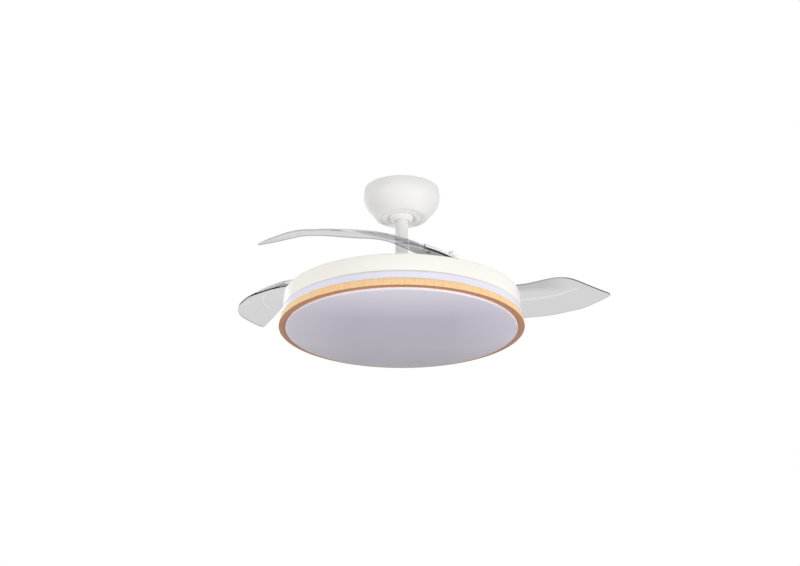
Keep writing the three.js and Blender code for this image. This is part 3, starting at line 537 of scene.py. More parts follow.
@dataclass(frozen=True)
class Timber(Finish):
    """Pale wood: upright grain on the ring's side, grain along the ring underneath."""

    pale: Colour = (255, 226, 176)
    dark: Colour = (255, 200, 136)
    warm: Colour = (255, 202, 138)
    # Painted shade: a darker brown, and its share, on flat faces, which look down where they show.
    under: Colour = (172, 102, 56)
    under_shade_share: float = 0.82
    side_stretch: tuple[float, float, float] = (230.0, 230.0, 9.0)
    around_stretch: Pair = (6.0, 500.0)
    roughness: float = 0.46
    pore_depth: float = 0.00006

    def paint(self, look: Look) -> None:
        """Grain streaks, pores, a slow change from strip to strip, and a darker brown on flat
        faces: painted shade on the ring's underside.
        """
        across, away, _ = look.parts(look.place)
        angle = look.math("ARCTAN2", across, away)
        radius = look.math("SQRT", look.math("ADD", look.times(across, across),
                                             look.times(away, away)))
        by_angle, by_radius = self.around_stretch
        around = look.node("ShaderNodeCombineXYZ", {
            0: look.times(angle, by_angle), 1: look.times(radius, by_radius)}).outputs[0]
        is_flat = look.math("GREATER_THAN", look.size(look.upward()), 0.7)
        vector = look.node("ShaderNodeMix", {
            0: is_flat, 4: look.mapped(Scale=self.side_stretch), 5: around},
            data_type="VECTOR").outputs[1]
        fibres = look.effect(Effect.LINES, vector, Scale=3.5).outputs["Height"]
        patch = look.effect(Effect.GRAIN, Patch=7.0).outputs["Tone"]
        figure = look.ranged(look.noise(vector, 1.0, 6.0, 0.62), 0.32, 0.72)
        body = look.blend(figure, srgb(self.pale), srgb(self.dark))
        fibred = look.blend(look.ranged(fibres, 0.5, 0.75, 0.0, 0.45), body,
                            srgb(lowered(self.dark, 18, 20, 20)))
        warmed = look.blend(look.times(patch, 0.35), fibred, srgb(self.warm))
        # Flat faces take the darker brown: painted shade on the underside.
        look.shade({
            "Base Color": look.blend(look.times(is_flat, self.under_shade_share), warmed,
                                     srgb(self.under)),
            "Roughness": look.ranged(figure, 0.0, 1.0, self.roughness - 0.05,
                                     self.roughness + 0.08),
            "Coat Weight": 0.12, "Coat Roughness": 0.3})
        look.bump(fibres, self.pore_depth)


WHITE_PAINT = Paint("white_powder_coat", colour=(239, 239, 239), roughness=0.6, coat=0.0)
ROD_PAINT = Paint("white_rod_enamel", colour=(231, 231, 231), roughness=0.5)
DRUM_PAINT = Paint("warm_white_enamel", colour=(253, 250, 244), roughness=0.36)
STEEL = Metal("turned_steel")
ZINC = Metal("zinc_plate", colour=(191, 195, 198), roughness=0.4, marks=Marks.CAST)
CAST = Metal("cast_alloy", colour=(201, 204, 205), roughness=0.46, marks=Marks.CAST,
             depth=0.00008)
LAMINATIONS = Metal("core_laminations", colour=(106, 108, 112), roughness=0.55)
COPPER = Metal("enamelled_copper", colour=(178, 106, 59), roughness=0.4, marks=Marks.DRAWN)
MAGNET = Metal("bonded_magnet", colour=(59, 60, 63), roughness=0.65, marks=Marks.CAST)
SPRING = Metal("spring_wire", colour=(150, 152, 156), roughness=0.28)
WHITE_PLASTIC = Plastic("white_nylon")
GREY_PLASTIC = Plastic("grey_nylon", colour=(138, 140, 143), roughness=0.5)
CLAMP_GREY = Plastic("pale_grey_nylon", colour=(224, 221, 224), roughness=0.42)
CAP_WHITE = Plastic("clamp_white_nylon", colour=(253, 253, 253), roughness=0.5, dust=0.0,
                    tint=1)
RUBBER = Plastic("black_rubber", colour=(40, 40, 42), roughness=0.75, tint=8)
CIRCUIT = Plastic("white_board_mask", colour=(240, 242, 238), roughness=0.42)
# Acrylic band: only its rim tone differs, a painted shadow line along its top under the drum's
# edge.
ACRYLIC = Opal("satin_acrylic_band", colour=(235, 234, 249), near_light_colour=(235, 234, 249),
               far_shade_colour=(235, 234, 249), side_light_colour=(235, 234, 249),
               painted_rim_colour=(222, 216, 221),
               painted_rim_height=(-0.2828, -0.2812), roughness=0.3)
# Opal diffuser: painted light and shade over the dome, and a painted highlight on its turned-up
# rim.
OPAL = Opal("opal_diffuser")
# Untinted clear ribs with pale cut edges, lighter than the tinted blade: part of the bead's
# painted highlight.
BEAD = SmokedClear("clear_bead", colour=(255, 255, 255), shade=(255, 255, 255),
                   bead=(255, 255, 255), lead_root=(236, 236, 237), lead_tip=(236, 236, 237),
                   back_root=(236, 236, 237), back_tip=(236, 236, 237), refraction=1.06)
WOOD = Timber("pale_bamboo")


# ------------------------------------------------------------------ shapes
@dataclass(frozen=True)
class Corner:
    """One corner of a turned profile, in millimetres."""

    radius: float
    height: float
    rounding: float = 0.0
    segments: int = 4


def bevel_edges(shape: BMesh, offset: float, angle: float = 40.0, segments: int = 2) -> None:
    """Round every edge that is sharper than an angle in degrees, by a width in millimetres."""
    sharp = [edge for edge in shape.edges
             if len(edge.link_faces) == 2 and edge.calc_face_angle() > math.radians(angle)]
    bmesh.ops.bevel(shape, geom=sharp, offset=offset * MM, offset_type="OFFSET",
                    segments=segments, profile=0.5, affect="EDGES", clamp_overlap=True,
                    material=-1)


def clean(shape: BMesh) -> None:
    """Merge doubles, drop empty faces and turn every face outwards."""
    bmesh.ops.remove_doubles(shape, verts=shape.verts, dist=0.002 * MM)
    bmesh.ops.dissolve_degenerate(shape, edges=shape.edges, dist=0.001 * MM)
    bmesh.ops.recalc_face_normals(shape, faces=shape.faces)


def moved(shape: BMesh, x: float, y: float, z: float) -> BMesh:
    """Move a shape by millimetres, in place."""
    bmesh.ops.translate(shape, vec=(x * MM, y * MM, z * MM), verts=shape.verts)
    return shape


def turned(profile: Sequence[Sequence[float]], steps: int = 128) -> BMesh:
    """Turn a closed profile about Z.

    Args:
        profile: The corners in order round the section, each with what Corner takes.
        steps: Steps of the full turn.

    Returns:
        The closed solid.
    """
    shape = bmesh.new()
    corners = [Corner(*corner) for corner in profile]
    points = [shape.verts.new((c.radius * MM, 0, c.height * MM)) for c in corners]
    for first, second in zip(points, points[1:] + points[:1]):
        shape.edges.new((first, second))
    for point, corner in zip(points, corners):
        if corner.rounding:
            bmesh.ops.bevel(shape, geom=[point], offset=corner.rounding * MM,
                            offset_type="OFFSET", segments=corner.segments, profile=0.5,
                            affect="VERTICES", clamp_overlap=False, material=-1)
    bmesh.ops.spin(shape, geom=shape.verts[:] + shape.edges[:], cent=(0, 0, 0),
                   axis=(0, 0, 1), angle=FULL_TURN, steps=steps, use_merge=True)
    clean(shape)
    return shape


def box(low: Sequence[float], high: Sequence[float], rounding: float = 0.0,
        segments: int = 3) -> BMesh:
    """A block between its lowest and highest corner, with its edges rounded."""
    shape = bmesh.new()
    bmesh.ops.create_cube(shape, size=1.0)
    bmesh.ops.scale(shape, vec=[(top - bottom) * MM for bottom, top in zip(low, high)],
                    verts=shape.verts)
    moved(shape, *((top + bottom) / 2 for bottom, top in zip(low, high)))
    if rounding:
        bevel_edges(shape, rounding, segments=segments)
    return shape


def post(radius: float, low: float, high: float, place: Pair = (0.0, 0.0), sides: int = 32,
         rounding: float = 0.4) -> BMesh:
    """An upright round or many-sided post, with its ends rounded.

    Args:
        radius: Its radius in millimetres.
        low: Height of its foot.
        high: Height of its top.
        place: Where it stands, as x and y.
        sides: How many sides it has.
        rounding: Width of the rounding of its ends.
    """
    shape = bmesh.new()
    bmesh.ops.create_cone(shape, cap_ends=True, cap_tris=False, segments=sides,
                          radius1=radius * MM, radius2=radius * MM, depth=(high - low) * MM)
    moved(shape, *place, (low + high) / 2)
    if rounding:
        bevel_edges(shape, rounding, angle=50.0)
    return shape


def joined(*shapes: BMesh) -> BMesh:
    """Put several closed shapes, which are used up, in one mesh."""
    whole, *others = shapes
    for other in others:
        carrier = bpy.data.meshes.new("carrier")
        other.to_mesh(carrier)
        other.free()
        whole.from_mesh(carrier)
        bpy.data.meshes.remove(carrier)
    return whole


def lying(shape: BMesh, axis: str, height: float) -> BMesh:
    """Lay an upright shape along X or Y at a height in millimetres, in place."""
    turn = Matrix.Rotation(math.pi / 2, 4, "Y" if axis == "X" else "X")
    bmesh.ops.transform(shape, matrix=Matrix.Translation((0, 0, height * MM)) @ turn,
                        verts=shape.verts)
    return shape


@dataclass(frozen=True)
class Piece:
    """What a finished piece is called, what it is made of and what it moves with."""

    name: str
    finish: Finish
    body: str
    slot: str
    replaces: tuple[str, ...] = ()
    smooth_to: float = 32.0

    def make(self, shape: BMesh, place: Matrix) -> Object:
        """Make the object from a shape, with its place in its mesh.

        Args:
            shape: The shape, which is used up.
            place: Where it goes in the part's frame.
        """
        bmesh.ops.transform(shape, matrix=place, verts=shape.verts)
        mesh = bpy.data.meshes.new(self.name)
        shape.to_mesh(mesh)
        shape.free()
        mesh.shade_smooth()
        mesh.set_sharp_from_angle(angle=math.radians(self.smooth_to))
        mesh.materials.append(self.finish.material())
        made = bpy.data.objects.new(self.name, mesh)
        bpy.context.scene.collection.objects.link(made)
        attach(made, self.body)
        if self.replaces:
            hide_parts(*self.replaces)
        LOG.info("%s: %d faces on %s", self.name, len(mesh.polygons), self.body)
        return made


def make_pieces(body: str, rows: Sequence[tuple[str, Finish, str, str, BMesh]],
                place: Matrix = Matrix.Identity(4)) -> None:
    """Make the pieces of a body.

    Args:
        body: What they move with.
        rows: Each piece's name, finish, slot, the node that it replaces, if any, and its shape.
        place: Where they go in the part's frame.
    """
    for name, finish, slot, node, shape in rows:
        Piece(name, finish, body, slot, (node,) if node else ()).make(shape, place)


def dress(finish: Finish, *nodes: str) -> None:
    """Give kept nodes of the part their finish."""
    for node in nodes:
        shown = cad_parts[node]
        shown.data.materials.clear()
        shown.data.materials.append(finish.material())
        LOG.info("%s: kept, %s", node, finish.name)


# ------------------------------------------------------------------ ceiling plate and canopy
@dataclass
class CeilingMount:
    """The bowl at the ceiling, its trim, and the bracket and receiver inside it."""

    rim_radius: float = 78.0
    bowl_radius: float = 79.6
    foot_radius: float = 56.4
    opening: float = 38.0
    trim_depth: float = 5.4
    trim_wall: float = 1.0
    groove: float = 43.0
    lip: float = 32.0
    throat: float = 27.2
    wall: float = 1.5
    screw_circle: float = 44.0
    receiver_size: tuple[float, float, float] = (76.0, 32.0, 16.0)
    terminal_size: tuple[float, float, float] = (38.0, 11.0, 13.0)
    terminal_place: float = 27.0
    under_plate: float = -2.8

    def bowl(self) -> BMesh:
        """The canopy's bowl: a near-upright side, a wide shoulder and a straight slope."""
        side_end, shoulder = -14.0, -32.0
        foot = LEVEL.canopy_foot
        inner = foot + self.wall
        return turned([
            (self.rim_radius, -1.0, 0.5), (self.bowl_radius, side_end, 4.0),
            (self.bowl_radius, shoulder, 14.0, 14), (self.foot_radius, foot, 0.4),
            (self.opening, foot, 0.5), (self.opening, inner, 0.5),
            (self.foot_radius - self.wall, inner, 1.0),
            (self.bowl_radius - self.wall, shoulder, 13.0, 12),
            (self.bowl_radius - self.wall, side_end, 4.0),
            (self.rim_radius - self.wall, -1.0, 0.5)])

    def trim(self) -> BMesh:
        """The stepped ring under the bowl, with its groove and its dished opening."""
        top, low = LEVEL.canopy_foot - SEAT_GAP, LEVEL.canopy_foot - self.trim_depth
        edge, wall = self.foot_radius - 0.2, self.trim_wall
        groove_in, groove_out = self.groove - 0.8, self.groove + 0.8
        groove_top = low + 2.7
        return turned([
            (edge, top, 0.2), (edge - 0.8, top - 1.2, 0.7),
            (edge - 4.0, low + 1.6, 1.4, 5), (groove_out, low + 0.8, 0.3),
            (groove_out, groove_top, 0.15), (groove_in, groove_top, 0.15),
            (groove_in, low + 0.6, 0.3), (self.lip + 3.0, low, 1.2),
            (self.lip, low, 1.4, 5), (self.throat - 0.5, low + 3.9, 0.3),
            (self.throat, low + 3.9 + wall, 0.2), (self.lip, low + 1 + wall),
            (groove_in - wall, groove_top + wall),
            (edge - 4.0 - wall, groove_top + wall), (edge - wall, top, 0.2)])

    def screw(self, side: int) -> BMesh:
        """A low-head screw that points up through the foot of the bowl."""
        head_top = LEVEL.canopy_foot - SEAT_GAP
        shape = turned([
            (0, head_top - 0.5), (1.4, head_top - 0.4, 0.1),
            (1.6, head_top - 1.2, 0.2), (2.8, head_top - 1.1, 0.4),
            (3.8, head_top - 0.4, 0.3), (3.8, head_top, 0.15),
            (2.0, head_top), (2.0, head_top + 7.3, 0.4),
            (0, head_top + 7.3)], steps=24)
        return moved(shape, side * self.screw_circle, 0, 0)

    def receiver(self) -> BMesh:
        """The remote's receiver: a shallow case with a parting line and a lid on top."""
        length, width, height = self.receiver_size
        top = self.under_plate
        half_x, half_y = length / 2, width / 2
        return joined(
            box((-half_x, -half_y, top - height), (half_x, half_y, top - height / 2 - 0.3), 1.6),
            box((-half_x, -half_y, top - height / 2 + 0.3), (half_x, half_y, top), 1.6),
            box((-half_x + 1, -half_y + 1, top - height + 2), (half_x - 1, half_y - 1, top - 2)))

    def terminal(self) -> BMesh:
        """The wire block: four cells side by side with a screw post in each."""
        length, width, height = self.terminal_size
        top, cells = self.under_plate, 4
        pitch = length / cells
        blocks = []
        for cell in range(cells):
            left = -length / 2 + cell * pitch
            blocks.append(box((left + 0.2, self.terminal_place - width / 2, top - height),
                              (left + pitch - 0.2, self.terminal_place + width / 2, top - 1), 0.8))
            blocks.append(post(2.6, top - height - 0.4, top - height + 3,
                               (left + pitch / 2, self.terminal_place), 20, 0.3))
        spine = box((-length / 2 + 0.5, self.terminal_place - width / 4, top - height + 2),
                    (length / 2 - 0.5, self.terminal_place + width / 4, top))
        return joined(spine, *blocks)

    def build(self) -> None:
        """Make and dress everything that is fixed to the ceiling."""
        make_pieces(Body.CEILING.value, (
            ("canopy_bowl", WHITE_PAINT, "white_paint", "canopy", self.bowl()),
            ("canopy_trim", WHITE_PAINT, "white_paint", "canopy_trim_ring", self.trim()),
            ("canopy_fixing_1", STEEL, "steel", "canopy_screw_1", self.screw(-1)),
            ("canopy_fixing_2", STEEL, "steel", "canopy_screw_2", self.screw(1)),
            ("receiver_case", WHITE_PLASTIC, "white_plastic", "receiver", self.receiver()),
            ("wire_block", GREY_PLASTIC, "grey_plastic", "terminal_block", self.terminal())))
        dress(ZINC, "ceiling_bracket")


# ------------------------------------------------------------------ rod and motor
@dataclass
class RodAndShaft:
    """The ball, the rod, the coupling under it and the fixed shaft."""

    ball_radius: float = 30.0
    ball_top: float = 18.0
    ball_bottom: float = 24.0
    rod_radius: float = 13.5
    rod_wall: float = 2.0
    coupling_radius: float = 20.0
    pin_radius: float = 3.0
    pin_drop: float = 15.0
    set_screw_drop: float = 25.0
    shaft_radius: float = 9.0
    shaft_bore: float = 5.5
    collar_radius: float = 14.0
    waist: float = 0.8
    ball_steps: int = 20

    def ball(self) -> BMesh:
        """The hanger ball, cut flat above and below, with its bore."""
        middle, bore = LEVEL.ball_middle, self.rod_radius + SEAT_GAP
        start = -math.asin(self.ball_bottom / self.ball_radius)
        end = math.asin(self.ball_top / self.ball_radius)
        outer = []
        for step in range(self.ball_steps + 1):
            angle = start + (end - start) * step / self.ball_steps
            outer.append((self.ball_radius * math.cos(angle),
                                middle + self.ball_radius * math.sin(angle)))
        return turned([*outer, (bore, middle + self.ball_top, 0.5),
                       (bore, middle - self.ball_bottom, 0.8)], steps=96)

    def rod(self) -> BMesh:
        """The rod, a painted tube."""
        outer, inner = self.rod_radius, self.rod_radius - self.rod_wall
        return turned([
            (outer, LEVEL.rod_top, 0.4), (outer, LEVEL.rod_bottom, 0.4),
            (inner, LEVEL.rod_bottom, 0.4), (inner, LEVEL.rod_top, 0.4)], steps=64)

    def coupling(self) -> BMesh:
        """The cast socket that joins the rod to the shaft."""
        top, bottom, outer = LEVEL.coupling_top, LEVEL.coupling_bottom, self.coupling_radius
        waist, way = outer - self.waist, self.shaft_bore
        rod, shaft = self.rod_radius + SEAT_GAP, self.shaft_radius + SEAT_GAP
        return turned([
            (rod, top, 0.6), (outer, top, 2.0), (outer, top - 8, 0.5), (waist, top - 9, 0.4),
            (waist, bottom + 9, 0.4), (outer, bottom + 8, 0.5), (outer, bottom, 2.0),
            (shaft, bottom, 0.6), (shaft, bottom + 12), (way, bottom + 12), (way, bottom + 17),
            (rod, bottom + 17)], steps=72)

    def cross_pin(self) -> BMesh:
        """The headed pin through the coupling and the rod."""
        reach = self.coupling_radius + 3
        shank = post(self.pin_radius, -reach, reach, sides=24)
        head = post(4.6, -reach - 1.6, -reach + 2.2, sides=28, rounding=0.8)
        return lying(joined(shank, head), "Y", LEVEL.coupling_top - self.pin_drop)

    def set_screw(self) -> BMesh:
        """The screw that locks the rod in the coupling."""
        shank = post(self.pin_radius, self.rod_radius + SEAT_GAP, self.coupling_radius + 2,
                     sides=24)
        head = post(self.pin_radius + 1.4, self.coupling_radius + 0.8, self.coupling_radius + 4,
                    sides=6, rounding=0.5)
        return lying(joined(shank, head), "X", LEVEL.coupling_top - self.set_screw_drop)

    def shaft(self) -> BMesh:
        """The fixed hollow shaft with the collar that carries the light."""
        bore, outer, collar = self.shaft_bore, self.shaft_radius, self.collar_radius
        collar_top, collar_low = LEVEL.rotor_bottom - SEAT_GAP, LEVEL.drum_top + SEAT_GAP
        return turned([
            (bore, LEVEL.shaft_top, 0.4), (outer, LEVEL.shaft_top, 0.6), (outer, collar_top),
            (collar, collar_top, 0.4), (collar, collar_low, 0.4), (outer, collar_low),
            (outer, LEVEL.shaft_bottom, 0.6), (bore, LEVEL.shaft_bottom, 0.4)], steps=64)

    def build(self) -> None:
        """Make and dress the pieces between the ceiling and the light."""
        make_pieces(Body.FAN.value, (
            ("hanger_ball_moulding", WHITE_PLASTIC, "white_plastic", "hanger_ball", self.ball()),
            ("rod_tube", ROD_PAINT, "white_paint", "downrod", self.rod()),
            ("coupling_casting", CAST, "cast_alloy", "rod_coupling", self.coupling()),
            ("coupling_cross_pin", STEEL, "steel", "coupling_pin", self.cross_pin()),
            ("coupling_lock_screw", STEEL, "steel", "coupling_set_screw", self.set_screw()),
            ("fixed_shaft", STEEL, "steel", "motor_shaft", self.shaft())))
        dress(STEEL, "ball_cross_pin", "upper_bearing", "lower_bearing", "shaft_nut")
        dress(LAMINATIONS, "stator_core")
        dress(COPPER, "stator_winding")


@dataclass
class Rotor:
    """The turning motor shell and the plate that carries the blade hinges."""

    radius: float = 90.5
    flange_radius: float = 104.0
    inner_wall: float = 85.0
    wall: float = 2.5
    screw_circle: float = 97.5
    screw_lead: float = 60.0
    cover_bore: float = 10.2
    base_bore: float = 17.3
    dish: Pair = (24.0, 72.0)
    dish_depth: float = 1.2
    dish_slope: float = 2.0
    seam_depth: float = 0.7

    def cover(self) -> BMesh:
        """The upper shell, dished in the middle with a raised ring round the shaft."""
        top, low, r = LEVEL.rotor_top, LEVEL.flange_top + SEAT_GAP, self.radius
        dished, (dish_in, dish_out) = top - self.dish_depth, self.dish
        under, seam = top - self.wall - self.dish_depth, r - self.seam_depth
        return turned([
            (self.cover_bore, top, 0.4), (dish_in, top, 0.8),
            (dish_in + self.dish_slope, dished, 0.8), (dish_out - self.dish_slope, dished, 0.8),
            (dish_out, top, 0.8), (r - 4.4, top, 1.0), (r, top - 4.4, 3.0, 6),
            (r, top - 12, 0.4), (seam, top - 12.5, 0.2), (seam, top - 13.5, 0.2),
            (r, top - 14, 0.4), (r, low, 0.4), (r - self.wall, low),
            (r - self.wall, top - 5.0, 2.0), (r - 6, under), (self.cover_bore, under)], steps=160)

    def base(self) -> BMesh:
        """The lower shell with the flange under the blade plate."""
        low, top, wall = LEVEL.rotor_bottom, LEVEL.flange_top, self.wall
        outer = self.inner_wall + wall
        return turned([
            (self.base_bore, low, 0.4), (outer, low, 2.0), (outer, top - wall, 0.6),
            (self.flange_radius, top - wall, 0.6), (self.flange_radius, top, 0.6),
            (self.inner_wall, top, 0.4), (self.inner_wall, low + wall, 0.8),
            (self.base_bore, low + wall, 0.4)], steps=160)

    def plate_screw(self, angle: float) -> BMesh:
        """A pan-head screw down through the blade plate."""
        seat = LEVEL.plate_top + SEAT_GAP
        shape = turned([
            (0, seat + 1.3), (1.3, seat + 1.1, 0.2), (1.5, seat + 2.2, 0.3),
            (3.0, seat + 2.0, 0.7), (4.0, seat + 0.8, 0.5), (4.0, seat, 0.2),
            (2.0, seat), (2.0, LEVEL.plate_bottom), (0, LEVEL.plate_bottom)],
            steps=24)
        turn = Matrix.Rotation(math.radians(angle), 4, "Z")
        place = turn @ Matrix.Translation((self.screw_circle * MM, 0, 0))
        bmesh.ops.transform(shape, matrix=place, verts=shape.verts)
        return shape

    def build(self) -> None:
        """Make and dress the rotor."""
        make_pieces(Body.ROTOR.value, (
            ("motor_upper_shell", CAST, "cast_alloy", "rotor_cover", self.cover()),
            ("motor_lower_shell", CAST, "cast_alloy", "rotor_base", self.base()),
            *((f"plate_fixing_{index}", STEEL, "steel", f"plate_screw_{index}",
               self.plate_screw(hinge.angle + self.screw_lead))
              for index, hinge in enumerate(HINGES.values(), start=1))))
        dress(MAGNET, "magnet_ring")
        dress(CAST, "blade_plate")


# ------------------------------------------------------------------ blades
@dataclass(frozen=True)
class Hinge:
    """Where a blade's pivot stands and which way the blade points, in degrees."""

    angle: float
    direction: float
    circle: float = 164.0

    def base_place(self) -> Matrix:
        """The hinge's own frame: on the drum's top face, X outwards."""
        turn = Matrix.Rotation(math.radians(self.angle), 4, "Z")
        return turn @ Matrix.Translation((self.circle * MM, 0, LEVEL.drum_top * MM))

    def blade_place(self) -> Matrix:
        """The blade's frame: at the pivot, X along the blade."""
        return self.base_place() @ Matrix.Rotation(math.radians(self.direction), 4, "Z")

    def clear_sheet(self, name: str, **tones: object) -> SmokedClear:
        """The clear finish in this blade's frame.

        Args:
            name: The finish's name.
            **tones: The painted shade, highlight and edge tones that differ on this blade.

        Returns:
            The finish.
        """
        turn = math.radians(self.direction)
        shift = (-self.circle * MM * math.cos(turn), self.circle * MM * math.sin(turn))
        return SmokedClear(name, turn=-math.radians(self.angle + self.direction), shift=shift,
                           **tones)


FIRST_PIVOT = 67.5
OPEN_STOP = -70.6
THIRD_TURN = 120
HINGES: dict[Side, Hinge] = {
    Side.RIGHT: Hinge(FIRST_PIVOT, OPEN_STOP),
    Side.LEFT: Hinge(FIRST_PIVOT + THIRD_TURN, -74.4),
    Side.FRONT: Hinge(FIRST_PIVOT - THIRD_TURN, -125.4),
}

# Painted tones of each blade: shade by the leading edge, a highlight along the bead, and shade and
# reflection on the cut edges.
PAINTED_EDGE_DARK, PAINTED_EDGE_MIDDLE, PAINTED_EDGE_LIGHT = (58, 58, 60), (150, 150, 152), (198, 198, 200)
SHEET_TONES: dict[Side, dict[str, object]] = {
    Side.RIGHT: {"shade": (191, 191, 192), "bead": (238, 238, 239), "lead_root": PAINTED_EDGE_MIDDLE,
                 "lead_tip": PAINTED_EDGE_DARK, "back_root": PAINTED_EDGE_LIGHT, "back_tip": PAINTED_EDGE_LIGHT, "split": 0.29},
    Side.LEFT: {"bead": (222, 222, 223), "lead_root": PAINTED_EDGE_LIGHT, "lead_tip": PAINTED_EDGE_LIGHT,
                "back_root": PAINTED_EDGE_DARK, "back_tip": PAINTED_EDGE_MIDDLE, "split": 0.19},
    Side.FRONT: {"lead_root": PAINTED_EDGE_MIDDLE, "lead_tip": PAINTED_EDGE_MIDDLE, "back_root": (200, 200, 202),
                 "back_tip": (246, 246, 247), "split": 0.08, "refraction": 1.015},
}


@dataclass(frozen=True)
class SmoothLine:
    """A smooth curve through knots of position and value."""

    knots: tuple[tuple[float, float], ...]

    def slope(self, index: int) -> float:
        """The curve's slope at a knot, from the knots on each side."""
        before = self.knots[max(index - 1, 0)]
        after = self.knots[min(index + 1, len(self.knots) - 1)]
        return (after[1] - before[1]) / (after[0] - before[0])

    def __call__(self, x: float) -> float:
        """The curve's value at a position."""
        index = 0
        while index < len(self.knots) - 2 and x > self.knots[index + 1][0]:
            index += 1
        (x0, y0), (x1, y1) = self.knots[index], self.knots[index + 1]
        span = x1 - x0
        t = min(max((x - x0) / span, 0.0), 1.0)
        t2, t3 = t * t, t * t * t
        return (y0 * (2 * t3 - 3 * t2 + 1) + self.slope(index) * span * (t3 - 2 * t2 + t)
                + y1 * (3 * t2 - 2 * t3) + self.slope(index + 1) * span * (t3 - t2))


@dataclass(frozen=True)
class BladeForm:
    """The blade's outline and the surface it lies on, from its pivot, in millimetres.

    X runs along the blade. The trailing edge is on +Y and low, the leading edge high.
    """

    heel: float = -33.0
    tip: float = 384.0
    thickness: float = 3.0
    trailing: SmoothLine = SmoothLine((
        (-33, -2), (-20, 7), (0, 18), (65, 72), (135, 98), (200, 100.4), (265, 96), (320, 74.4),
        (360, 35), (384, 4)))
    leading: SmoothLine = SmoothLine((
        (-33, -16), (-20, -32), (0, -28), (65, -20), (130, -10), (200, -10.5), (240, -17.6),
        (275, -23.6), (310, -20.8), (384, -3)))
    middle_height: SmoothLine = SmoothLine((
        (-33, 25), (0, 31), (30, 36.7), (65, 39.6), (130, 53.9), (200, 63.2), (290, 71),
        (340, 64), (384, 58)))
    pitch: SmoothLine = SmoothLine((
        (-33, 0.15), (30, 0.27), (65, 0.26), (130, 0.39), (200, 0.32), (280, 0.33), (384, 0.22)))
    camber: SmoothLine = SmoothLine((
        (-33, 3), (65, 13.2), (130, 12.8), (200, 9.7), (280, 3.7), (384, 0)))
    least_half_width: float = 12.0

    def height(self, x: float, y: float) -> float:
        """Height of the blade's middle surface over the drum's top face."""
        low, high = self.leading(x), self.trailing(x)
        offset = y - (low + high) / 2
        half = max((high - low) / 2, self.least_half_width)
        return (self.middle_height(x) - self.pitch(x) * offset
                + self.camber(x) * (1 - (offset / half) ** 2))


BLADE = BladeForm()


@dataclass(frozen=True)
class Strip:
    """A stretch of the blade's surface: how far along it, and between which edges."""

    start: float
    end: float
    lower: Callable[[float], float]
    upper: Callable[[float], float]
    along: int = 72
    across: int = 18

    def sheet(self, below: float, thickness: float, rounding: float) -> BMesh:
        """A closed sheet on this stretch.

        Args:
            below: Height of its underside from the blade's middle surface.
            thickness: Its thickness.
            rounding: Width of the rounding round its rim.

        Returns:
            The sheet, in metres, in the blade's frame.
        """
        shape = bmesh.new()
        bmesh.ops.create_grid(shape, x_segments=self.along, y_segments=self.across, size=1.0)
        for vert in shape.verts:
            share = (1 - math.cos(math.pi * (vert.co.x + 1) / 2)) / 2
            x = self.start + (self.end - self.start) * share
            y = self.lower(x) + (self.upper(x) - self.lower(x)) * (vert.co.y + 1) / 2
            vert.co = Vector((x, y, BLADE.height(x, y) + below)) * MM
        bmesh.ops.recalc_face_normals(shape, faces=shape.faces)
        upward = sum(face.normal.z for face in shape.faces) > 0
        if not upward:
            bmesh.ops.reverse_faces(shape, faces=shape.faces)
        under = shape.faces[:]
        over = bmesh.ops.extrude_face_region(shape, geom=under)["geom"]
        lifted = [item for item in over if isinstance(item, BMVert)]
        bmesh.ops.translate(shape, vec=(0, 0, thickness * MM), verts=lifted)
        bmesh.ops.recalc_face_normals(shape, faces=shape.faces)
        if rounding:
            bevel_edges(shape, rounding, angle=50.0)
        return shape


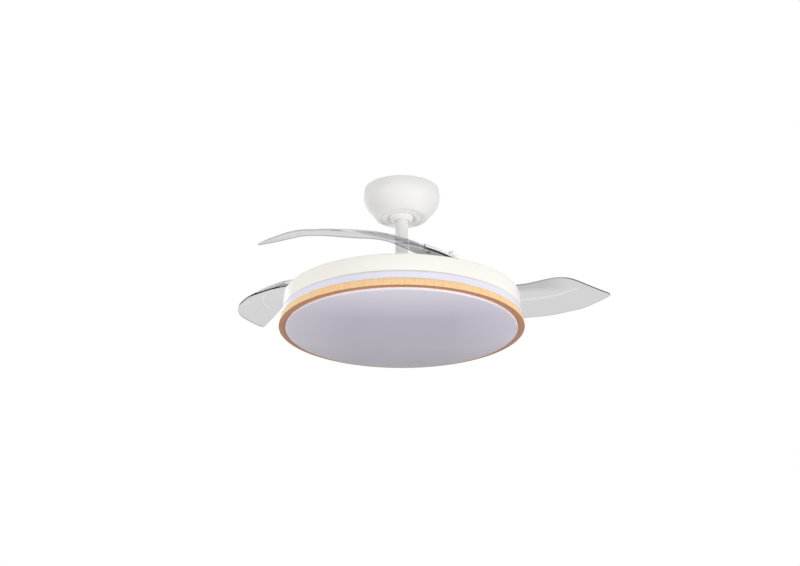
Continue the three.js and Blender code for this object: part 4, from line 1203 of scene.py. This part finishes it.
@dataclass
class FoldingBlade:
    """One clear blade with the two halves of the clamp that holds it."""

    side: Side
    holder_thickness: float = 3.5
    cap_thickness: float = 2.5
    inset: float = 6.0
    rim: float = 0.9
    skin_ease: float = 0.3
    tip_round: float = 5.0
    reach: float = 86.0
    cap_reach: float = 56.0
    clamp_heel: float = 22.0
    hub_radius: float = 14.0
    hub_bottom: float = 20.5
    neck_radius: float = 6.5
    neck_bottom: float = 13.3
    lug: tuple[float, float, float] = (22.0, 8.0, 2.8)
    boss_radius: float = 9.5
    boss_rise: float = 6.8
    screw_place: tuple[float, float] = (47.0, 14.0)
    screw_boss: float = 7.0
    screw_head: float = 5.4
    screw_head_height: float = 2.4
    screw_depth: float = 1.6
    bead: SmoothLine = SmoothLine((
        (80, 40), (110, 47), (160, 52), (195, 52.5), (228, 50), (260, 43), (290, 29), (308, 17),
        (322, 2)))
    bead_end: float = 322.0
    bead_width: float = 4.6

    def clamp_strip(self, reach: float) -> Strip:
        """The part of the blade that a half of the clamp covers."""
        return Strip(-self.clamp_heel, reach, lambda x: BLADE.leading(x) + self.inset,
                     lambda x: BLADE.trailing(x) - self.inset, 26, 14)

    def skin(self) -> BMesh:
        """The clear blade itself."""
        def edge(x: float, back: bool) -> float:
            """One edge of the blade, drawn in where the tip rounds off."""
            low, high = BLADE.leading(x), BLADE.trailing(x) - self.skin_ease
            past = min(max((x - BLADE.tip + self.tip_round) / self.tip_round, 0.0), 1.0)
            half = (high - low) / 2 * max(math.sqrt(1 - past * past), 0.12)
            return (low + high) / 2 + (half if back else -half)

        whole = Strip(BLADE.heel, BLADE.tip, lambda x: edge(x, False), lambda x: edge(x, True))
        return whole.sheet(-BLADE.thickness / 2, BLADE.thickness, 0.7)

    def rib(self) -> BMesh:
        """The shallow bead that stiffens the blade, curving to its leading edge."""
        def half(x: float) -> float:
            """Half the bead's width, which rounds off at its far end."""
            left = min(max((self.bead_end - x) / self.bead_width, 0.0), 1.0)
            return 0.2 + self.bead_width * math.sqrt(1 - (1 - left) ** 2) / 2

        strip = Strip(self.reach - 4, self.bead_end, lambda x: self.bead(x) - half(x),
                      lambda x: self.bead(x) + half(x), 72, 6)
        return strip.sheet(-BLADE.thickness / 2 - 0.83, 0.8, 0.5)

    def screw_foot(self) -> float:
        """Height over the drum of the face that the screw's head bears on."""
        x, y = self.screw_place
        under = -BLADE.thickness / 2 - SEAT_GAP - self.holder_thickness
        return BLADE.height(x, y + self.screw_boss) + under - self.screw_depth

    def holder(self) -> BMesh:
        """The lower clamp half: plate, hub, neck, stop lug and screw boss."""
        under = -BLADE.thickness / 2 - SEAT_GAP - self.holder_thickness
        length, width, height = self.lug
        x, y = self.screw_place
        return joined(
            self.clamp_strip(self.reach).sheet(under, self.holder_thickness, self.rim),
            post(self.hub_radius, self.hub_bottom, BLADE.height(0, 0) + under + 1, sides=48,
                 rounding=1.2),
            post(self.neck_radius, self.neck_bottom, self.hub_bottom + 1, sides=36),
            box((-length, -width / 2, self.hub_bottom), (0, width / 2, self.hub_bottom + height),
                0.8),
            post(self.screw_boss, self.screw_foot(), BLADE.height(x, y) + under + 1, (x, y), 32,
                 1.2))

    def cap(self) -> BMesh:
        """The upper clamp half: a plate with the pivot boss."""
        over = BLADE.thickness / 2 + SEAT_GAP
        return joined(
            self.clamp_strip(self.cap_reach).sheet(over, self.cap_thickness, self.rim),
            post(self.boss_radius, BLADE.height(0, 0) + over, self.boss_top(), sides=40,
                 rounding=1.6))

    def boss_top(self) -> float:
        """Height of the pivot boss's top face over the drum."""
        return BLADE.height(0, 0) + BLADE.thickness / 2 + SEAT_GAP + self.boss_rise

    def screw(self) -> BMesh:
        """The dome-head screw, from below, through both halves of the clamp."""
        x, y = self.screw_place
        seat = self.screw_foot() - SEAT_GAP
        face = seat - self.screw_head_height
        end = BLADE.height(x, y) + BLADE.thickness / 2 + SEAT_GAP + self.cap_thickness - 0.4
        shape = turned([
            (0, face + 1.2), (1.6, face + 1.0, 0.2), (1.8, face, 0.3),
            (3.6, face + 0.1, 0.8), (self.screw_head, seat - 1.0, 0.6),
            (self.screw_head, seat, 0.2), (2.0, seat), (2.0, end, 0.4),
            (0, end)], steps=28)
        return moved(shape, x, y, 0)

    def build(self) -> None:
        """Make and dress the blade."""
        side, hinge = self.side.value, HINGES[self.side]
        sheet = hinge.clear_sheet(f"smoked_clear_sheet_{side}", **SHEET_TONES[self.side])
        make_pieces(f"blade_unit_{side}", (
            (f"blade_skin_{side}", sheet, "smoked_clear", f"blade_{side}", self.skin()),
            (f"blade_rib_{side}", BEAD, "smoked_clear", "", self.rib()),
            (f"clamp_lower_{side}", CLAMP_GREY, "grey_plastic", f"blade_holder_{side}",
             self.holder()),
            (f"clamp_upper_{side}", CAP_WHITE, "white_plastic", f"blade_cap_{side}", self.cap()),
            (f"clamp_screw_{side}", STEEL, "steel", f"blade_screw_{side}", self.screw())),
            hinge.blade_place())


@dataclass
class BladeHinge:
    """The pin, nut, return spring and stop of one blade, on the rotor's plate."""

    side: Side
    pin_radius: float = 4.0
    pin_head: float = 8.0
    pin_head_height: float = 3.4
    nut_radius: float = 7.5
    nut_height: float = 3.2
    spring_radius: float = 10.0
    spring_wire: float = 0.7
    spring_turns: float = 2.5
    spring_pitch: float = 2.0
    spring_leg: float = 9.0
    steps_per_turn: int = 32
    buffer_radius: float = 3.5
    buffer_circle: float = 18.0
    buffer_height: float = 8.9
    boss_top: float = 0.0

    def pin(self) -> BMesh:
        """The headed pivot pin, from under the plate to above the nut."""
        head_top = LEVEL.plate_bottom - LEVEL.drum_top - SEAT_GAP
        end = self.boss_top + SEAT_GAP + self.nut_height + 1.2
        return turned([
            (0, head_top - self.pin_head_height),
            (self.pin_head, head_top - self.pin_head_height, 0.8),
            (self.pin_head, head_top, 0.4), (self.pin_radius, head_top),
            (self.pin_radius, end, 0.8), (0, end)], steps=40)

    def nut(self) -> BMesh:
        """The locking nut on the pin, with a washer under it."""
        low = self.boss_top + SEAT_GAP
        return joined(post(self.nut_radius, low + 0.5, low + self.nut_height, sides=6,
                           rounding=0.6),
                      post(self.nut_radius + 1.0, low, low + 0.6, sides=36, rounding=0.15))

    def spring(self) -> BMesh:
        """The return spring: a coil round the neck with a straight leg at each end."""
        foot = LEVEL.plate_top - LEVEL.drum_top + 2 * SEAT_GAP + self.spring_wire
        shape = bmesh.new()
        bmesh.ops.create_circle(shape, cap_ends=False, segments=10,
                                radius=self.spring_wire * MM)
        place = (Matrix.Translation((self.spring_radius * MM, 0, foot * MM))
                 @ Matrix.Rotation(math.pi / 2, 4, "X"))
        bmesh.ops.transform(shape, matrix=place, verts=shape.verts)
        steps = round(self.spring_turns * self.steps_per_turn)
        rise = self.spring_pitch * self.spring_turns / steps
        start_ring = shape.edges[:]
        end = bmesh.ops.spin(shape, geom=shape.verts[:] + shape.edges[:], cent=(0, 0, 0),
                             axis=(0, 0, 1), dvec=(0, 0, rise * MM),
                             angle=FULL_TURN * self.spring_turns, steps=steps,
                             use_merge=False)["geom_last"]
        end_ring = [item for item in end if isinstance(item, BMEdge)]
        turn = Matrix.Rotation(FULL_TURN * self.spring_turns, 3, "Z")
        for ring, direction in ((start_ring, Vector((0, -1, 0))),
                                (end_ring, turn @ Vector((0, 1, 0)))):
            leg = bmesh.ops.extrude_edge_only(shape, edges=ring)["geom"]
            verts = [item for item in leg if isinstance(item, BMVert)]
            bmesh.ops.translate(shape, vec=direction * self.spring_leg * MM, verts=verts)
        bmesh.ops.holes_fill(shape, edges=[edge for edge in shape.edges if edge.is_boundary],
                             sides=0)
        clean(shape)
        return shape

    def stop_angle(self) -> float:
        """Angle of the rubber stop about the pivot, from the pivot's own radius."""
        reach = FoldingBlade.lug[1] / 2 + self.buffer_radius + 2 * SEAT_GAP
        spread = math.asin(reach / self.buffer_circle)
        return math.radians(OPEN_STOP + 180) + spread

    def stop(self) -> BMesh:
        """The rubber stop that the open blade's lug rests on."""
        foot = LEVEL.plate_top - LEVEL.drum_top + SEAT_GAP
        angle = self.stop_angle()
        place = (self.buffer_circle * math.cos(angle), self.buffer_circle * math.sin(angle))
        return post(self.buffer_radius, foot, foot + self.buffer_height, place, 28, 1.0)

    def build(self) -> None:
        """Make and dress the hinge."""
        side = self.side.value
        make_pieces(Body.ROTOR.value, (
            (f"hinge_pin_{side}", ROD_PAINT, "steel", f"pivot_pin_{side}", self.pin()),
            (f"hinge_nut_{side}", CAP_WHITE, "white_plastic", f"pivot_nut_{side}", self.nut()),
            (f"hinge_spring_{side}", SPRING, "steel", f"return_spring_{side}", self.spring()),
            (f"hinge_stop_{side}", RUBBER, "rubber", f"stop_buffer_{side}", self.stop())),
            HINGES[self.side].base_place())


# ------------------------------------------------------------------ light
@dataclass
class LightDrum:
    """The painted drum and what is fixed in it."""

    radius: float = 241.5
    flare: float = 1.5
    wall: float = 1.5
    edge: float = 3.0
    bore: float = 9.3

    def shell(self) -> BMesh:
        """The drum: a flat top with a rounded edge and a side that flares a little."""
        top, low, r = LEVEL.drum_top, LEVEL.drum_bottom, self.radius
        return turned([
            (self.bore, top, 0.4), (150, top), (r, top, self.edge, 6),
            (r + self.flare, low, 0.4), (r + self.flare - self.wall, low, 0.4),
            (r - self.wall, top - self.wall, self.edge - self.wall, 4),
            (150, top - self.wall), (self.bore, top - self.wall, 0.4)], steps=256)

    def build(self) -> None:
        """Make and dress the drum."""
        make_pieces(Body.FAN.value, (
            ("drum_shell", DRUM_PAINT, "drum_paint", "drum_housing", self.shell()),))
        dress(ZINC, "light_tray")
        dress(CIRCUIT, "led_board")
        dress(WHITE_PLASTIC, "led_driver")


@dataclass
class LightCover:
    """The ring of acrylic, the wood ring and the opal diffuser, which twist off together."""

    rebate: float = 239.7
    band_radius: float = 245.2
    wood_top: float = 247.2
    wood_low: float = 250.0
    wood_opening: float = 236.0
    wood_ledge: float = 6.0
    diffuser_side: float = 1.0
    diffuser_corner: float = 3.0
    diffuser_crown: float = 18.0
    diffuser_curve: float = 2.5
    diffuser_wall: float = 2.5
    flange: float = 2.6

    def band(self) -> BMesh:
        """The satin acrylic band between the drum and the wood."""
        top, low = LEVEL.drum_bottom - SEAT_GAP, LEVEL.wood_top + SEAT_GAP
        return turned([
            (self.rebate, top, 0.3), (self.band_radius - 0.8, top, 1.0),
            (self.band_radius, low, 0.3), (self.rebate, low, 0.3)], steps=256)

    def ring(self) -> BMesh:
        """The wood ring, with its edges eased and a ledge inside for the diffuser."""
        top, low = LEVEL.wood_top, LEVEL.wood_bottom
        return turned([
            (self.rebate, top, 0.4), (self.wood_top, top, 0.9),
            (self.wood_low, low, 0.9), (self.wood_opening, low, 0.6),
            (self.wood_opening, low + self.wood_ledge, 0.3),
            (self.rebate, low + self.wood_ledge, 0.3)], steps=256)

    def diffuser(self) -> BMesh:
        """The opal sheet: a flange on the ledge, a short side and a shallow dome."""
        side = self.wood_opening - SEAT_GAP
        flange_low = LEVEL.wood_bottom + self.wood_ledge + SEAT_GAP
        floor = LEVEL.wood_bottom - self.diffuser_side - self.diffuser_corner
        flat, rings = side - self.diffuser_corner, 16

        def dome(lift: float, edge: float) -> list[Pair]:
            """The dome's section from its edge to the middle."""
            shares = [1 - step / rings for step in range(1, rings + 1)]
            return [(edge * s, floor + lift - self.diffuser_crown * (1 - s**self.diffuser_curve))
                    for s in shares]

        wall = self.diffuser_wall
        return turned([
            (side, flange_low), (side, floor, self.diffuser_corner - 0.4, 8),
            *dome(0, flat), *reversed(dome(wall, flat)),
            (side - wall, floor + wall, self.diffuser_corner - wall - 0.4, 5),
            (side - wall, flange_low + self.flange, 0.3),
            (self.rebate - SEAT_GAP, flange_low + self.flange, 0.3),
            (self.rebate - SEAT_GAP, flange_low, 0.3)], steps=256)

    def build(self) -> None:
        """Make and dress the cover."""
        make_pieces(Body.COVER.value, (
            ("acrylic_ring", ACRYLIC, "acrylic", "acrylic_band", self.band()),
            ("wood_hoop", WOOD, "pale_wood", "wood_ring", self.ring()),
            ("opal_dome", OPAL, "opal", "diffuser", self.diffuser())))
        dress(ZINC, "cover_frame")


# ------------------------------------------------------------------ studio
@dataclass(frozen=True)
class Lamp:
    """A soft square lamp that faces the light drum, in metres and watts."""

    name: str
    place: tuple[float, float, float]
    size: float
    power: float

    def build(self) -> None:
        """Hang the lamp. Clear pieces don't show it."""
        data = bpy.data.lights.new(self.name, "AREA")
        data.size = self.size
        data.energy = self.power
        made = bpy.data.objects.new(self.name, data)
        made.visible_transmission = False
        made.location = self.place
        aim = Vector((0, 0, LEVEL.drum_bottom * MM)) - Vector(self.place)
        made.rotation_euler = aim.to_track_quat("-Z", "Y").to_euler()
        bpy.context.scene.collection.objects.link(made)


LAMPS = (Lamp("key", (3.0, -1.8, -1.7), 1.4, 76.0), Lamp("fill", (-2.8, -1.9, -1.7), 1.4, 54.0),
         Lamp("front", (0.3, -3.5, -1.7), 1.2, 26.0), Lamp("back", (-1.6, 3.0, 0.3), 1.6, 24.0))


@dataclass
class Studio:
    """The camera, the floor and the light. Floor sizes are metres."""

    camera_back: float = 3000.0
    camera_height: float = -1388.4
    camera_pitch: float = 21.45
    focal_pixels: float = 1567.0
    middle_x: float = 401.7
    image_width: float = 800.0
    sensor: float = 36.0
    floor_height: float = -2.35
    floor_reach: float = 14.0
    floor_glow: float = 0.38
    world_above: float = 0.6
    world_below: float = 0.18
    world_rise: Pair = (-0.35, 0.5)

    def camera(self) -> None:
        """The camera at the photograph's angle, from below."""
        data = bpy.data.cameras.new("camera")
        data.sensor_width = self.sensor
        data.lens = self.focal_pixels / self.image_width * self.sensor
        data.shift_x = (self.image_width / 2 - self.middle_x) / self.image_width
        made = bpy.data.objects.new("camera", data)
        made.location = (0, -self.camera_back * MM, self.camera_height * MM)
        made.rotation_euler = (math.radians(90 + self.camera_pitch), 0, 0)
        bpy.context.scene.collection.objects.link(made)
        bpy.context.scene.camera = made

    @staticmethod
    def seen(graph: Graph) -> NodeSocket:
        """One for a ray from the camera, a reflection or the clear sheet, and nought for light."""
        path = graph.node("ShaderNodeLightPath").outputs
        return graph.math("MAXIMUM", path["Is Camera Ray"], graph.math(
            "MAXIMUM", path["Is Glossy Ray"], path["Is Transmission Ray"]))

    def floor(self) -> None:
        """A pale floor a storey below the ceiling, which shows white and keeps the shadow."""
        shape = bmesh.new()
        bmesh.ops.create_grid(shape, x_segments=1, y_segments=1, size=self.floor_reach)
        bmesh.ops.translate(shape, vec=(0, 0, self.floor_height), verts=shape.verts)
        mesh = bpy.data.meshes.new("floor")
        shape.to_mesh(mesh)
        shape.free()
        look = Look("pale_floor")
        mottle = look.effect(Effect.GRAIN, Scale=60.0, Patch=1.5).outputs["Tone"]
        look.shade({
            "Base Color": look.blend(mottle, (0.82, 0.82, 0.82, 1), (0.79, 0.79, 0.785, 1)),
            "Roughness": 0.9, "Emission Color": (1, 1, 1, 1),
            "Emission Strength": look.times(self.seen(look), self.floor_glow)})
        mesh.materials.append(look.material)
        made = bpy.data.objects.new("floor", mesh)
        made.visible_diffuse = False
        bpy.context.scene.collection.objects.link(made)

    def world(self) -> None:
        """White to look at, and a soft light that is weaker from below."""
        world = bpy.data.worlds.new("studio")
        world.use_nodes = True
        bpy.context.scene.world = world
        graph = Graph(world.node_tree)
        graph.tree.nodes.clear()
        direction = graph.node("ShaderNodeTexCoord").outputs["Generated"]
        level = graph.ranged(graph.parts(direction)[2], *self.world_rise, self.world_below,
                             self.world_above)
        strength = graph.node("ShaderNodeMix", {0: self.seen(graph), 2: level, 3: 1.0},
                              data_type="FLOAT")
        sky = graph.node("ShaderNodeBackground", {"Color": (1, 1, 1, 1),
                                                  "Strength": strength.outputs[0]})
        graph.node("ShaderNodeOutputWorld", {"Surface": sky.outputs[0]})

    def build(self) -> None:
        """Set up the studio."""
        bpy.context.scene.view_settings.view_transform = "Standard"
        self.camera()
        self.floor()
        self.world()
        for lamp in LAMPS:
            lamp.build()
        LOG.info("studio ready")


def main() -> None:
    """Build the studio and every piece in order."""
    logging.basicConfig(level=logging.INFO, format="%(name)s %(message)s")
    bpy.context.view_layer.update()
    Studio().build()
    CeilingMount().build()
    RodAndShaft().build()
    Rotor().build()
    for side in Side:
        blade = FoldingBlade(side)
        blade.build()
        BladeHinge(side, boss_top=blade.boss_top()).build()
    LightDrum().build()
    LightCover().build()


if __name__ == "__main__":
    main()
